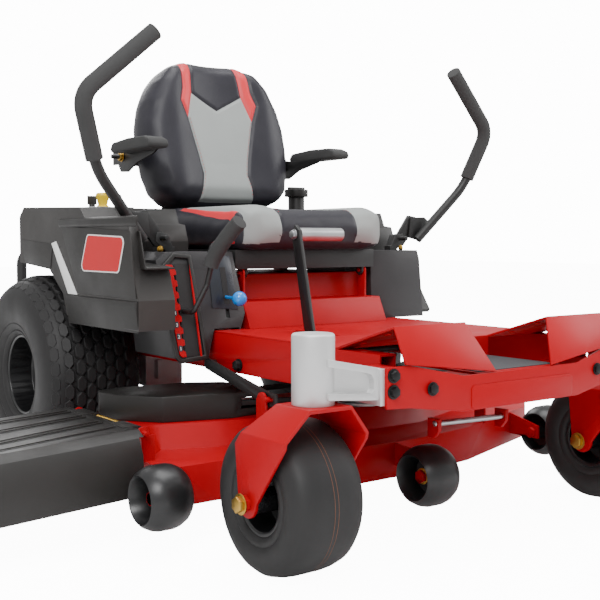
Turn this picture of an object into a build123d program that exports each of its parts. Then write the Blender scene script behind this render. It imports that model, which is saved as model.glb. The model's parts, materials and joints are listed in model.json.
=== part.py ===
from build123d import *
import os

# Zero turn mower, in millimetres. X runs to the operator's left, Y to the rear, Z up.
# While modelling, x = 0 is the centre plane, y = 0 the rear axle and z = 0 the ground.
# The finished set is shifted so that its box stands with its base centre at the origin.

# ---- driving dimensions ----
GAP = 0.3                  # between pieces that move past each other
RUN = 0.05                 # radial clearance of a shaft in its hole
SHEET = 4.0                # formed sheet steel
WALL = 4.0                 # moulded plastic

REAR_TYRE_R, REAR_TYRE_W, REAR_RIM_R = 254.0, 254.0, 101.6
REAR_TRACK = 890.0         # between rear tyre centres
AXLE_R = 14.0
AXLE_STUB, AXLE_SEAT = 165.0, 55.0   # wheel centre to axle case, and the axle's length in the case
CASTER_TYRE_R, CASTER_TYRE_W, CASTER_RIM_R = 139.7, 152.0, 63.5
CASTER_X, CASTER_Y, TRAIL = 460.0, -1120.0, 71.0
CASTER_BOLT_R, STEM_R = 9.5, 16.0

RAIL_OUT, RAIL_W, RAIL_Z0, RAIL_Z1 = 300.0, 40.0, 304.0, 388.0
NOSE_Y, TUBE_D, NOSE_Z1 = -1112.0, 60.0, 345.0
REAR_Y = 640.0
PAN_FRONT, PAN_REAR = -990.0, 60.0
BOSS_R, BOSS_Z0, BOSS_Z1 = 38.0, 314.0, 438.0

DECK_Z0, DECK_SHELF, DECK_TOP = 70.0, 150.0, 200.0
BLADE_L, BLADE_Z = 412.0, 78.0
SPINDLES = [(-340.0, -510.0), (65.0, -622.0), (470.0, -504.0)]
SPINDLE_R, PULLEY_R, BELT_Z = 12.5, 62.0, 231.0
ROLLER_R, ROLLER_W, ROLLER_BOLT_R = 63.5, 92.0, 8.0
ROLLERS = {"right": (-590.0, -809.0, 107.0), "centre": (-70.0, -1001.0, 112.0),
           "left": (545.0, -800.0, 107.0)}
ROLLER_ROOTS = {"right": (-772.0, 1), "centre": (-842.0, 1), "left": (-725.0, -1)}   # deck wall, bracket side
HUB_IN = 14.0              # roller hub's end on its open side, from the middle
CHUTE_X, CHUTE_Z, CHUTE_Y0, CHUTE_Y1 = -560.0, 208.0, -700.0, -354.0
CHUTE_LEN, CHUTE_FALL = 418.0, 3.0

SEAT_HINGE_Y, SEAT_HINGE_Z = -479.0, 521.0
SEAT_W, CUSHION_Y0, CUSHION_Y1, CUSHION_Z0, CUSHION_Z1 = 480.0, -500.0, -60.0, 576.0, 676.0
BACK_Y, BACK_Z, BACK_LEAN, BACK_T = -34.0, 640.0, 13.0, 112.0
ARM_Y, ARM_Z, ARM_L = -20.0, 823.0, 248.0

POST_X, POST_Y, POST_Z = 350.0, -411.0, 500.0
TUBE_R, GRIP_R = 12.5, 19.0
LEVER = [(427.0, -434.0, 601.0), (560.0, -480.0, 750.0), (614.0, -518.0, 904.0), (457.0, -545.0, 1046.0)]
LEVER_BENDS = [22.0, 60.0, 60.0]
GRIP_START = 0.15         # share of the lever's upright run below the grip
PIVOT_X, PIVOT_Z = 372.0, 604.0

POD_IN, POD_OUT, POD_STEP, POD_STEP_LEFT = 265.0, 520.0, 432.0, 410.0
HEIGHT_X, HEIGHT_Y, HEIGHT_Z = -380.0, -400.0, 440.0
PEDAL_X, PEDAL_Y, PEDAL_Z = -150.0, -740.0, 330.0
SHAFT_Y, SHAFT_Z, SHAFT_R = -540.0, 318.0, 8.0
STRAP_X, LINK_Y, LINK_Z, SLOT_R = 316.0, -784.0, 266.0, 6.9

PARTS = {}


# ---- helpers ----
def block(x0, x1, y0, y1, z0, z1):
    return Pos((x0 + x1) / 2, (y0 + y1) / 2, (z0 + z1) / 2) * Box(abs(x1 - x0), abs(y1 - y0), abs(z1 - z0))


def face_x(points, x):
    return make_face(Plane.YZ.offset(x) * Polyline(*points, close=True))


def prism_x(points, x0, x1):
    return extrude(face_x(points, x0), amount=x1 - x0, dir=(1, 0, 0))


def prism_y(points, y0, y1):
    plane = Plane(origin=(0, y0, 0), x_dir=(1, 0, 0), z_dir=(0, -1, 0))
    return extrude(make_face(plane * Polyline(*points, close=True)), amount=y1 - y0, dir=(0, 1, 0))


def prism_z(points, z0, z1):
    return extrude(make_face(Plane.XY.offset(z0) * Polyline(*points, close=True)), amount=z1 - z0, dir=(0, 0, 1))


def rod(start, end, radius):
    line = Vector(*end) - Vector(*start)
    return extrude(Plane(origin=start, z_dir=line) * Circle(radius), amount=line.length)


def rod_x(x0, x1, y, z, radius):
    return rod((min(x0, x1), y, z), (max(x0, x1), y, z), radius)


def rod_z(x, y, z0, z1, radius):
    return rod((x, y, min(z0, z1)), (x, y, max(z0, z1)), radius)


def bent_bar(points, radius, bend):
    path = FilletPolyline(*points, radius=bend)
    return sweep(Plane(origin=path @ 0, z_dir=path % 0) * Circle(radius), path=path)


def mirrored(shape):
    return mirror(shape, about=Plane.YZ)


def sided(shape, side):
    """A shape modelled at +X, on the side asked for (1 is the operator's left)."""
    return shape if side > 0 else mirrored(shape)


def hex_head(x, y, z, across, height, direction):
    head = RegularPolygon(across / 2, 6, major_radius=False)
    return extrude(Plane(origin=(x, y, z), z_dir=direction) * head, amount=height)


def turned(profile, x, y, z):
    """A profile of (radius, along X) points, turned about an axis along X."""
    face = make_face(Plane.XY * Polyline(*[(along, radius) for radius, along in profile], close=True))
    return Pos(x, y, z) * revolve(face, axis=Axis.X)


def keep(name, *solids):
    PARTS[name] = solids[0] if len(solids) == 1 else Compound(children=[s for s in solids])


# ---- frame ----
def frame_rails():
    outer = block(RAIL_OUT - RAIL_W, RAIL_OUT, NOSE_Y, REAR_Y, RAIL_Z0, RAIL_Z1)
    inner = block(RAIL_OUT - RAIL_W + SHEET, RAIL_OUT - SHEET, NOSE_Y, REAR_Y, RAIL_Z0 + SHEET, RAIL_Z1 - SHEET)
    rail = outer - inner
    rail -= rod_x(0, 2 * RAIL_OUT, SHAFT_Y, SHAFT_Z, SHAFT_R + RUN)
    keep("frame_rails", rail, mirrored(rail))


def nose_frame():
    tube_front = NOSE_Y - TUBE_D
    half, corner, centre = RAIL_OUT + 40, RAIL_OUT - 15, RAIL_OUT - 135
    tube = block(-half, half, tube_front, NOSE_Y, RAIL_Z0, NOSE_Z1)
    tube -= block(-corner, corner, tube_front + SHEET, NOSE_Y - SHEET, RAIL_Z0 + SHEET, NOSE_Z1 - SHEET)
    end = block(RAIL_OUT + SHEET, half, tube_front, NOSE_Y, NOSE_Z1, 372)
    tube += end + mirrored(end)
    front = [(-half, tube_front - 6), (-corner, tube_front - 6), (-centre, tube_front - 23),
             (centre, tube_front - 23), (corner, tube_front - 6), (half, tube_front - 6)]
    back = [(half, tube_front), (corner, tube_front), (centre, tube_front - 17),
            (-centre, tube_front - 17), (-corner, tube_front), (-half, tube_front)]
    plate = prism_z(front + back, 270, 380)
    outline = [(-half, 300), (-corner, 297), (-centre, 281), (centre, 281), (corner, 297), (half, 300),
               (half, 374), (corner, 374), (centre, 348), (-centre, 348), (-corner, 374), (-half, 374)]
    plate = plate & prism_y(outline, tube_front - 40, tube_front + 10)
    keep("nose_frame", tube + plate)


def on_plane(a, b, c, x, z):
    """The point at x and z on the plane through three points."""
    normal = (Vector(*b) - Vector(*a)).cross(Vector(*c) - Vector(*a))
    y = a[1] - (normal.X * (x - a[0]) + normal.Z * (z - a[2])) / normal.Y
    return (x, y, z)


def foot_platform():
    """The lowered centre tread and the two folded plates that the feet rest on."""
    inner, outer, back = 119.0, RAIL_OUT, PAN_FRONT + 4
    front_y = NOSE_Y - TUBE_D
    crest_y, crest_z, pan_z = -1151.0, 443.0, RAIL_Z1 + SHEET
    tread = block(-inner, inner, front_y - 17, back, NOSE_Z1, NOSE_Z1 + SHEET)
    tread += block(-inner, inner, back - SHEET, back, NOSE_Z1, pan_z)
    tread += block(-outer, outer, back - SHEET, back, RAIL_Z1, pan_z)
    ramp = prism_x([(back, pan_z), (crest_y, crest_z), (crest_y, crest_z - SHEET), (back - SHEET, pan_z - SHEET)],
                   inner, outer)
    for x, y in ((150, -1100), (150, -1030), (270, -1100), (270, -1030), (210, -1120)):
        ramp -= rod_z(x, y, 380, 450, 7)
    top_in, top_out, low_in = (inner, crest_y, crest_z), (outer, crest_y, crest_z), (80.0, front_y - 25, 350.5)
    low_out = on_plane(top_in, top_out, low_in, outer, 378.0)
    face = make_face(Polyline(top_in, top_out, low_out, low_in, close=True))
    normal = face.faces()[0].normal_at()
    inward = normal if normal.Y > 0 else normal * -1
    toe = extrude(face, amount=SHEET, dir=tuple(inward))
    keep("foot_platform", tread + ramp + toe + mirrored(ramp) + mirrored(toe))


def floor_pan():
    pan = block(-RAIL_OUT, RAIL_OUT, PAN_FRONT + 4.2, PAN_REAR, RAIL_Z1, RAIL_Z1 + SHEET)
    pan -= block(PEDAL_X - 12, PEDAL_X + 12, PEDAL_Y - 60, PEDAL_Y + 110, RAIL_Z1 - 1, RAIL_Z1 + SHEET + 1)
    lug = block(PEDAL_X - 24, PEDAL_X - 18, PEDAL_Y - 20, PEDAL_Y + 20, PEDAL_Z, RAIL_Z1)
    lug += rod_x(PEDAL_X - 24, PEDAL_X - 18, PEDAL_Y, PEDAL_Z, 20)
    lug += rod_x(PEDAL_X - 24, PEDAL_X + 14, PEDAL_Y, PEDAL_Z, 8)
    keep("floor_pan", pan + lug)


def caster_arm(side):
    boss = rod_z(CASTER_X, CASTER_Y, BOSS_Z0, BOSS_Z1, BOSS_R)
    boss = chamfer(boss.edges().filter_by(GeomType.CIRCLE).sort_by(Axis.Z)[-1], 3)
    end = RAIL_OUT + 40
    y0, y1 = NOSE_Y - TUBE_D, NOSE_Y
    web = prism_y([(end, 315), (CASTER_X, 325), (CASTER_X, 396), (end, 372)], y0 + 8, y1 - 8)
    for y in (y0 + 8, y1 - 8 - 14):
        web -= prism_y([(end + 24, 329), (CASTER_X, 337), (CASTER_X, 383), (end + 34, 366), (end + 24, 362),
                        (end + 18, 354), (end + 18, 336)], y, y + 14)
    flange = block(end, end + 10, y0, y1, 306, 372)
    arm = boss + web + flange
    arm -= rod_z(CASTER_X, CASTER_Y, BOSS_Z0 - 1, BOSS_Z1 - 10, STEM_R + RUN)
    keep("caster_arm_" + side, sided(arm, 1 if side == "left" else -1))


def seat_riser():
    half = 212.0
    profile = [(-548, 392), (-520, 450), (-440, 450), (-440, 512), (-100, 512), (-100, 516), (-444, 516),
               (-444, 454), (-523, 454), (-552, 392)]
    riser = prism_x(profile, -half, half)
    wall = prism_x([(-548, 392), (-520, 450), (-440, 450), (-440, 512), (-100, 512), (-100, 392)], half - SHEET, half)
    lug = block(186, 192, SEAT_HINGE_Y - 14, SEAT_HINGE_Y + 14, 454, SEAT_HINGE_Z)
    lug += rod_x(186, 192, SEAT_HINGE_Y, SEAT_HINGE_Z, 14)
    lug += rod_x(176, 198, SEAT_HINGE_Y, SEAT_HINGE_Z, 5)
    riser += wall + mirrored(wall) + lug + mirrored(lug)
    keep("seat_riser", riser)


# ---- bodywork ----
def pod_form(side, shrink):
    """The fender's outer form, or its hollow when shrunk by the wall."""
    step = POD_STEP_LEFT if side == "left" else POD_STEP
    tall = [(75, 541), (75, 660), (45, 684), (-300, 676), (-330, 648), (-549, 632), (-556, 560), (-590, 470),
            (-590, 405), (-222, 419), (-200, 470), (-119, 527)]
    if side == "left":
        tall = [(75, 541), (75, 640), (-110, 640), (-200, 578), (-270, 545), (-306, 527), (-392, 400),
                (-385, 392), (-222, 419), (-200, 470), (-119, 527)]
    near = [(75, 541), (75, 660), (45, 684), (-300, 676), (-316, 640), (-346, 636), (-361, 596),
            (-361, 440), (-222, 440), (-200, 470), (-119, 527)]
    flank = extrude(offset(face_x(tall, step + shrink), -shrink) if shrink else face_x(tall, step),
                    amount=POD_OUT - step - 2 * shrink, dir=(1, 0, 0))
    if side == "right":
        flank -= prism_y([(step - 20, 548 - shrink), (POD_OUT - 6, 640 - shrink), (POD_OUT - 6, 720),
                          (step - 20, 720)], -700, -372 + shrink)
    inner = extrude(offset(face_x(near, POD_IN + shrink), -shrink) if shrink else face_x(near, POD_IN),
                    amount=step - POD_IN - (shrink if side == "left" else 0), dir=(1, 0, 0))
    return flank, inner


def pod(side):
    flank, inner = pod_form(side, 0)
    hollow_flank, hollow_inner = pod_form(side, WALL)
    shell = (flank + inner) - hollow_flank - hollow_inner
    shell -= block(POD_STEP + 8, POD_OUT - 8, -560 if side == "right" else -370, -240, 385, 430)
    leg = block(POD_IN, POD_IN + WALL, -361, -60, RAIL_Z1 + SHEET, 445)
    leg -= rod_x(POD_IN - 1, POD_IN + 9, 0, REAR_TYRE_R, 100)
    shell += leg
    if side == "left":
        shell -= rod_z(FILLER[0], FILLER[1], 660, 700, FILLER_R + 1)
    else:
        shell -= rod_z(KNOB[0], KNOB[1], 660, 700, 5 + RUN)
        shell -= rod_z(KEY[0], KEY[1], 660, 700, 8 + RUN)
        shell -= block(THROTTLE[0] - 3 - GAP, THROTTLE[0] + 3 + GAP, THROTTLE[1] - 30, THROTTLE[1] + 30, 640, 700)
    keep("pod_" + side, sided(shell, 1 if side == "left" else -1))


FILLER, FILLER_R, CAP_Z, TANK_Z = (335.0, 10.0), 25.0, 732.0, 543.6
KNOB, KEY, THROTTLE = (400.0, -172.0), (400.0, -110.0), (350.0, -150.0)
POD_TOP = 679.0


def console_right_points(shrink):
    s = shrink
    return [(-229 - s, 572 - s), (-215 - 1.2 * s, 429), (-233 - s, 392 + s), (-306 - s, 392 + s),
            (-328 - s, 334 + s), (-410 + s, 334 + s), (-432 + s, 527), (-432 + s, 554), (-404 + s / 2, 572 - s)]


def console_face(z):
    """Y of the right console's sloping front at a height."""
    return -566 + 0.24 * (z - 300)


def consoles():
    back = -361.0
    slope_cut = prism_x([(-620, 300), (console_face(300), 300), (console_face(700), 700), (-620, 700)], -500, 500)
    slope_in = Pos(0, WALL, 0) * slope_cut
    right = prism_y(console_right_points(0), -600, back) - slope_cut
    right -= prism_y(console_right_points(WALL), -600, back + 1) - slope_in
    right -= block(-500, -306, -700, back + 1, 300, 336)
    right -= block(-300 - WALL, -236, -700, back + 1, 390, 397)
    slot = block(-POST_X - 46, -POST_X + 20, POST_Y - 40, POST_Y + 40, 560, 600)
    right -= slot
    right -= block(HEIGHT_X - 11, HEIGHT_X + 11, -620, -480, 345, 540)
    right -= block(SPEED[0] - 5, SPEED[0] + 5, -620, -480, SPEED[2] - 50, SPEED[2] + 50)
    left_points = [(229, 572), (222, 440), (248, 392), (404, 392), (404, 548), (398, 572)]
    left_inner = [(233, 568), (226, 441), (250.5, 396), (400, 396), (400, 547.5), (395, 568)]
    left_cut = prism_x([(-620, 300), (-494, 300), (-462, 600), (-462, 700), (-620, 700)], -500, 500)
    left_in = prism_x([(-620, 300), (-490, 300), (-458, 600), (-458, 700), (-620, 700)], -500, 500)
    left = prism_y(left_points, -600, back) - left_cut
    left -= prism_y(left_inner, -600, back + 1) - left_in
    left -= block(254, 396, -480, back + 1, 380, 398)
    left -= mirrored(slot)
    keep("consoles", right, left)


SPEED = (-262.0, -430.0, 470.0)


def control_brackets():
    def bracket(pin_end):
        lug = block(286, 292, POST_Y - 26, POST_Y + 34, RAIL_Z1 + SHEET, POST_Z)
        lug += rod_x(286, 292, POST_Y, POST_Z, 22)
        foot = block(286, 299, POST_Y - 26, POST_Y + 34, RAIL_Z1 + SHEET, RAIL_Z1 + SHEET + 6)
        return lug + foot + rod_x(286, pin_end, POST_Y, POST_Z, 6)
    right = mirrored(bracket(POST_X + 18))
    right += rod_x(-286, HEIGHT_X - 12, HEIGHT_Y, HEIGHT_Z, 6)
    speed_pin = rod_x(-286, SPEED[0] + 14, SPEED[1], SPEED[2], 4)
    keep("control_brackets", right + speed_pin, bracket(POST_X + 18))


def height_gate():
    low, high = 340, 538
    slab = prism_x([(console_face(low), low), (console_face(high), high), (console_face(high) - SHEET, high),
                    (console_face(low) - SHEET, low)], -408, -338)
    slab -= block(HEIGHT_X - 9, HEIGHT_X + 9, -620, -480, 347, 530)
    for step in range(7):
        z = 360 + 26 * step
        slab -= block(HEIGHT_X + 8, HEIGHT_X + 20, -620, -480, z - 6, z + 6)
    keep("height_gate", slab)


# ---- engine and drive ----
def rear_frame():
    plate = block(-260, 260, 90, REAR_Y, 334, 340)
    plate -= rod_z(0, 300, 330, 345, 60)
    cross = block(-260, 260, 60, 90, 310, 388)
    bumper = block(-RAIL_OUT, RAIL_OUT, REAR_Y, REAR_Y + 6, 300, 400)
    for x in (-KIT_X, KIT_X):
        for z in (360 - KIT_Z, 360 + KIT_Z):
            bumper -= rod((x, REAR_Y - 1, z), (x, REAR_Y + 7, z), KIT_R)
    hoop = bent_bar([(-270, REAR_Y + 6, 360), (-270, REAR_Y + 70, 360), (-270, REAR_Y + 70, 560),
                     (270, REAR_Y + 70, 560), (270, REAR_Y + 70, 360), (270, REAR_Y + 6, 360)], 16, 40)
    tongue = block(-40, 40, REAR_Y + 6, REAR_Y + 60, 306, 312)
    tongue -= rod_z(0, REAR_Y + 36, 300, 320, HITCH_R)
    keep("rear_frame", plate + cross + bumper + hoop + tongue)


HITCH_R = 6.75
KIT_X, KIT_Z, KIT_R = 110.0, 25.0, 5.5


def transaxles():
    case_end = REAR_TRACK / 2 - AXLE_STUB
    case = rod_x(130, case_end, 0, REAR_TYRE_R, 46)
    case += block(140, 250, -110, 20, 210, 296)
    case += rod_z(195, -60, 296, 304, 40)
    fin = block(165, 225, -130, -110, 230, 280)
    case += fin
    mount = block(262, 280, -30, 30, 280, RAIL_Z0)
    case += mount
    case -= rod_x(case_end - AXLE_SEAT - 5, case_end + 10, 0, REAR_TYRE_R, AXLE_R + RUN)
    keep("transaxles", case, mirrored(case))


def engine():
    block_body = rod_z(0, 300, 340, 440, 130)
    block_body += block(-60, 60, 170, 430, 340, 430)
    shaft = rod_z(0, 300, 250, 340, 12)
    clutch = rod_z(0, 300, 236, 285, 70)
    for angle in (45, -45):
        place = Pos(0, 300, 398) * Rot(0, 0, angle)
        block_body += place * block(-46, 46, 60, 205, -41, 41)
        for step in range(4):
            block_body += place * block(-60, 60, 136 + 17 * step, 142 + 17 * step, -52, 52)
    keep("engine", block_body + shaft + clutch)


def engine_shroud():
    face = Pos(0, 300, 0) * RectangleRounded(360, 360, 90)
    body = extrude(Plane.XY.offset(460) * face, amount=120)
    body += rod_z(0, 300, 440, 470, 128)
    body += rod_z(0, 300, 580, 604, 130)
    keep("engine_shroud", body)


def muffler():
    body = extrude(Plane(origin=(-150, 592, 398), x_dir=(0, 1, 0), z_dir=(1, 0, 0)) * RectangleRounded(84, 100, 30),
                   amount=300)
    body += block(-120, -90, 560, 600, 340, 352) + block(90, 120, 560, 600, 340, 352)
    body += rod((110, 592, 446), (110, 592, 470), 20)
    keep("muffler", body)


def fuel_tank():
    tank = block(POD_IN + 15, POD_STEP_LEFT - 12, -285, 50, TANK_Z, 650)
    tank = fillet(tank.edges().filter_by(Axis.Z), 18)
    tank += rod_z(FILLER[0], FILLER[1], 650, CAP_Z + 2, FILLER_R)
    keep("fuel_tank", tank)


def battery():
    box = block(-95, 95, -330, -200, RAIL_Z1 + SHEET, 500)
    keep("battery", box)


def frame_bolts():
    bolts = []
    front = NOSE_Y - TUBE_D - 6
    for side in (-1, 1):
        for z in (359, 330):
            bolts.append(hex_head(side * 326, front, z, 17, 10, (0, -1, 0)) + rod((side * 326, front, z),
                         (side * 326, front - 3, z), 13))
        for y, z in ((-640, 323), (-900, 340)):
            bolts.append(hex_head(side * RAIL_OUT, y, z, 19, 12, (side, 0, 0)) + rod((side * RAIL_OUT, y, z),
                         (side * (RAIL_OUT + 3), y, z), 14))
    keep("frame_bolts", *bolts)


# ---- seat ----
def seat_plate():
    half = 215.0
    top = block(-half, half, -495, -64, CUSHION_Z0 - SHEET, CUSHION_Z0)
    front = block(-half, half, -495, -495 + SHEET, 530, CUSHION_Z0)
    side = block(half - SHEET, half, -495, -64, 530, CUSHION_Z0)
    tab = block(178, 184, SEAT_HINGE_Y - 12, SEAT_HINGE_Y + 12, SEAT_HINGE_Z, CUSHION_Z0 - SHEET)
    tab += rod_x(178, 184, SEAT_HINGE_Y, SEAT_HINGE_Z, 12)
    tab -= rod_x(170, 190, SEAT_HINGE_Y, SEAT_HINGE_Z, 5 + RUN)
    rest = block(150, 180, -160, -130, 516 + GAP, CUSHION_Z0 - SHEET)
    plate = top + front + side + mirrored(side) + tab + mirrored(tab) + rest + mirrored(rest)
    back = Location((0, BACK_Y, BACK_Z), (-BACK_LEAN, 0, 0))
    ear_low = ARM_Z - BACK_Z - 16
    panel = back * (block(-150, 150, 0, SHEET, -70, 330) + block(-262, 262, 0, SHEET, ear_low, ear_low + 55))
    bottom = block(-150, 150, -64, -10, CUSHION_Z0 - SHEET, CUSHION_Z0)
    plate += panel + bottom
    for side_sign in (-1, 1):
        ear = block(256, 262, ARM_Y - 18, ARM_Y + 70, ARM_Z - 18, ARM_Z + 18)
        ear += rod_x(256, 262, ARM_Y, ARM_Z, 18)
        ear += rod_x(256, 300, ARM_Y, ARM_Z, 6)
        plate += sided(ear, side_sign)
    keep("seat_plate", plate)


def seat_cushion():
    face = Pos(0, (CUSHION_Y0 + CUSHION_Y1) / 2, 0) * RectangleRounded(SEAT_W, CUSHION_Y1 - CUSHION_Y0, 110)
    pad = extrude(Plane.XY.offset(CUSHION_Z0) * face, amount=CUSHION_Z1 - CUSHION_Z0)
    keep("seat_cushion", fillet(pad.edges().sort_by(Axis.Z)[-8:], 28))


def seat_back():
    outline = [(-185, 62), (-225, 130), (-240, 200), (-236, 280), (-212, 370), (-165, 436), (-100, 468),
               (100, 468), (165, 436), (212, 370), (236, 280), (240, 200), (225, 130), (185, 62)]
    face = make_face(Plane.XZ * Polyline(*outline, close=True))
    pad = extrude(face, amount=BACK_T, dir=(0, -1, 0))
    pad = fillet(pad.edges().filter_by(Axis.Y), 14)
    keep("seat_back", Location((0, BACK_Y, BACK_Z), (-BACK_LEAN, 0, 0)) * pad)


def armrest(side):
    arm = block(262 + GAP, 268 + GAP, ARM_Y - ARM_L + 30, ARM_Y, ARM_Z - 12, ARM_Z + 6)
    arm += rod_x(262 + GAP, 268 + GAP, ARM_Y, ARM_Z, 16)
    pad = block(263, 320, ARM_Y - ARM_L, ARM_Y - 30, ARM_Z + 6, ARM_Z + 34)
    pad = fillet(pad.edges().filter_by(Axis.Z), 16)
    arm += pad
    arm += block(262 + GAP, 268 + GAP, ARM_Y - 60, ARM_Y, ARM_Z - 10, ARM_Z + 8)
    arm -= rod_x(250, 290, ARM_Y, ARM_Z, 6 + RUN)
    keep("armrest_" + side, sided(arm, 1 if side == "left" else -1))


# ---- drive levers ----
def lever_post(side):
    half = 12.5
    post = block(POST_X - half, POST_X + half, POST_Y - half, POST_Y + half, POST_Z, 584)
    post += rod_x(POST_X - half, POST_X + half, POST_Y, POST_Z, 20)
    post += prism_y([(POST_X - half, 574), (POST_X + half, 574), (PIVOT_X + 16, PIVOT_Z - 8), (PIVOT_X + 12, PIVOT_Z + 14),
                     (PIVOT_X - 16, PIVOT_Z + 10)], POST_Y - half, POST_Y + half)
    post -= rod_x(POST_X - 30, POST_X + 30, POST_Y, POST_Z, 6 + RUN)
    post += rod((PIVOT_X, POST_Y - 40, PIVOT_Z), (PIVOT_X, POST_Y, PIVOT_Z), 6)
    keep("lever_post_" + side, sided(post, 1 if side == "left" else -1))


def lever_path(foot, radius):
    return bent_bar([foot] + LEVER, radius, LEVER_BENDS)


def lever_tube(side):
    foot = (PIVOT_X, LEVER[0][1], PIVOT_Z)
    bar = lever_path(foot, TUBE_R)
    plate_y0, plate_y1 = POST_Y - 12.5 - GAP - 10, POST_Y - 12.5 - GAP
    plate = rod((PIVOT_X, plate_y0, PIVOT_Z), (PIVOT_X, plate_y1, PIVOT_Z), 20)
    plate += prism_y([(PIVOT_X - 8, PIVOT_Z + 18), (PIVOT_X + 60, PIVOT_Z + 30), (PIVOT_X + 66, PIVOT_Z - 2),
                      (PIVOT_X + 8, PIVOT_Z - 18)], plate_y0, plate_y1)
    bar -= block(POST_X - 60, PIVOT_X + 4, -500, -300, 500, 700)
    bar += plate
    bar -= rod((PIVOT_X, -500, PIVOT_Z), (PIVOT_X, -380, PIVOT_Z), 6 + RUN)
    bar -= block(300, 500, plate_y1, -300, 560, 680)
    keep("lever_tube_" + side, sided(bar, 1 if side == "left" else -1))


def lever_grip(side):
    start = Vector(*LEVER[1]) + (Vector(*LEVER[2]) - Vector(*LEVER[1])) * GRIP_START
    sleeve = bent_bar([tuple(start), LEVER[2], LEVER[3]], GRIP_R, LEVER_BENDS[2])
    end = Vector(*LEVER[3]) + (Vector(*LEVER[3]) - Vector(*LEVER[2])).normalized() * 8
    sleeve += rod(LEVER[3], tuple(end), GRIP_R)
    sleeve -= lever_path((PIVOT_X, LEVER[0][1], PIVOT_Z), TUBE_R)
    keep("lever_grip_" + side, sided(sleeve, 1 if side == "left" else -1))


# ---- casters and rear wheels ----
def caster_fork(side):
    axle_y, axle_z = CASTER_Y + TRAIL, CASTER_TYRE_R
    top = BOSS_Z0 - GAP
    outer, bend, skin = CASTER_TYRE_W / 2 + 16, 46.0, 7.0
    path = [(-outer, 100), (-outer, 262), (-bend, top), (bend, top), (outer, 262), (outer, 100)]
    inside = [(outer - skin, 100), (outer - skin, 259), (bend - 2, top - skin), (-bend + 2, top - skin),
              (-outer + skin, 259), (-outer + skin, 100)]
    strap = prism_y([(CASTER_X + x, z) for x, z in path + inside], CASTER_Y - 80, CASTER_Y + 150)
    profile = [(CASTER_Y - 52, top), (CASTER_Y + 46, top), (axle_y + 38, 240), (axle_y + 27, axle_z),
               (axle_y - 27, axle_z), (CASTER_Y - 40, 250)]
    side_view = prism_x(profile, CASTER_X - 2 * outer, CASTER_X + 2 * outer)
    side_view += rod_x(CASTER_X - 2 * outer, CASTER_X + 2 * outer, axle_y, axle_z, 27)
    fork = strap & side_view
    fork += rod_z(CASTER_X, CASTER_Y, top - skin, BOSS_Z1 - 14, STEM_R)
    fork -= rod_x(CASTER_X - 130, CASTER_X + 130, axle_y, axle_z, CASTER_BOLT_R)
    bolt = rod_x(CASTER_X - outer - 6, CASTER_X + outer + 6, axle_y, axle_z, CASTER_BOLT_R)
    bolt += hex_head(CASTER_X + outer, axle_y, axle_z, 27, 12, (1, 0, 0))
    bolt += hex_head(CASTER_X - outer, axle_y, axle_z, 27, 12, (-1, 0, 0))
    sign = 1 if side == "left" else -1
    keep("caster_fork_" + side, sided(fork, sign), sided(bolt, sign))


def caster_wheel(side):
    sign = 1 if side == "left" else -1
    y, z = CASTER_Y + TRAIL, CASTER_TYRE_R
    half, rim = CASTER_TYRE_W / 2, CASTER_RIM_R
    hub = CASTER_TYRE_W / 2 + 9 - GAP
    bore = CASTER_BOLT_R + RUN
    rim_profile = [(bore, -hub), (22, -hub), (22, -6), (rim - 8, -10), (rim - 8, -half + 12), (rim, -half + 10),
                   (rim, half - 10), (rim - 8, half - 12), (rim - 8, 10), (22, 6), (22, hub), (bore, hub)]
    tyre_profile = [(rim, -half + 10), (rim + 12, -half + 6), (CASTER_TYRE_R - 34, -half), (CASTER_TYRE_R - 16, -half + 6),
                    (CASTER_TYRE_R - 4, -half + 24), (CASTER_TYRE_R, -half + 48), (CASTER_TYRE_R, half - 48),
                    (CASTER_TYRE_R - 4, half - 24), (CASTER_TYRE_R - 16, half - 6), (CASTER_TYRE_R - 34, half),
                    (rim + 12, half - 6), (rim, half - 10)]
    keep("caster_rim_" + side, sided(turned(rim_profile, CASTER_X, y, z), sign))
    keep("caster_tyre_" + side, sided(turned(tyre_profile, CASTER_X, y, z), sign))


def rear_wheel(side):
    sign = 1 if side == "left" else -1
    half, rim, x = REAR_TYRE_W / 2, REAR_RIM_R, REAR_TRACK / 2
    rim_profile = [(AXLE_R, 20), (AXLE_R, 26), (60, 26), (rim - 8, 40), (rim - 6, half - 26), (rim, half - 24),
                   (rim, -half + 24), (rim - 6, -half + 24), (rim - 6, 20), (60, 20)]
    rim_solid = turned(rim_profile, x, 0, REAR_TYRE_R)
    hub = turned([(0, 30), (AXLE_R, 30), (AXLE_R, 20), (48, 20), (48, 10), (30, 10), (AXLE_R, -60), (AXLE_R, -AXLE_STUB - AXLE_SEAT),
                  (0, -AXLE_STUB - AXLE_SEAT)], x, 0, REAR_TYRE_R)
    rim_solid -= turned([(0, -10), (AXLE_R, -10), (AXLE_R, 60), (0, 60)], x, 0, REAR_TYRE_R)
    tyre_profile = [(rim, -half + 24), (rim + 20, -half + 12), (REAR_TYRE_R - 60, -half), (REAR_TYRE_R - 26, -half + 8),
                    (REAR_TYRE_R - 8, -half + 28), (REAR_TYRE_R, -half + 60), (REAR_TYRE_R, half - 60),
                    (REAR_TYRE_R - 8, half - 28), (REAR_TYRE_R - 26, half - 8), (REAR_TYRE_R - 60, half),
                    (rim + 20, half - 12), (rim, half - 24)]
    keep("rear_rim_" + side, sided(rim_solid, sign), sided(hub, sign))
    keep("rear_tyre_" + side, sided(turned(tyre_profile, x, 0, REAR_TYRE_R), sign))


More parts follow.
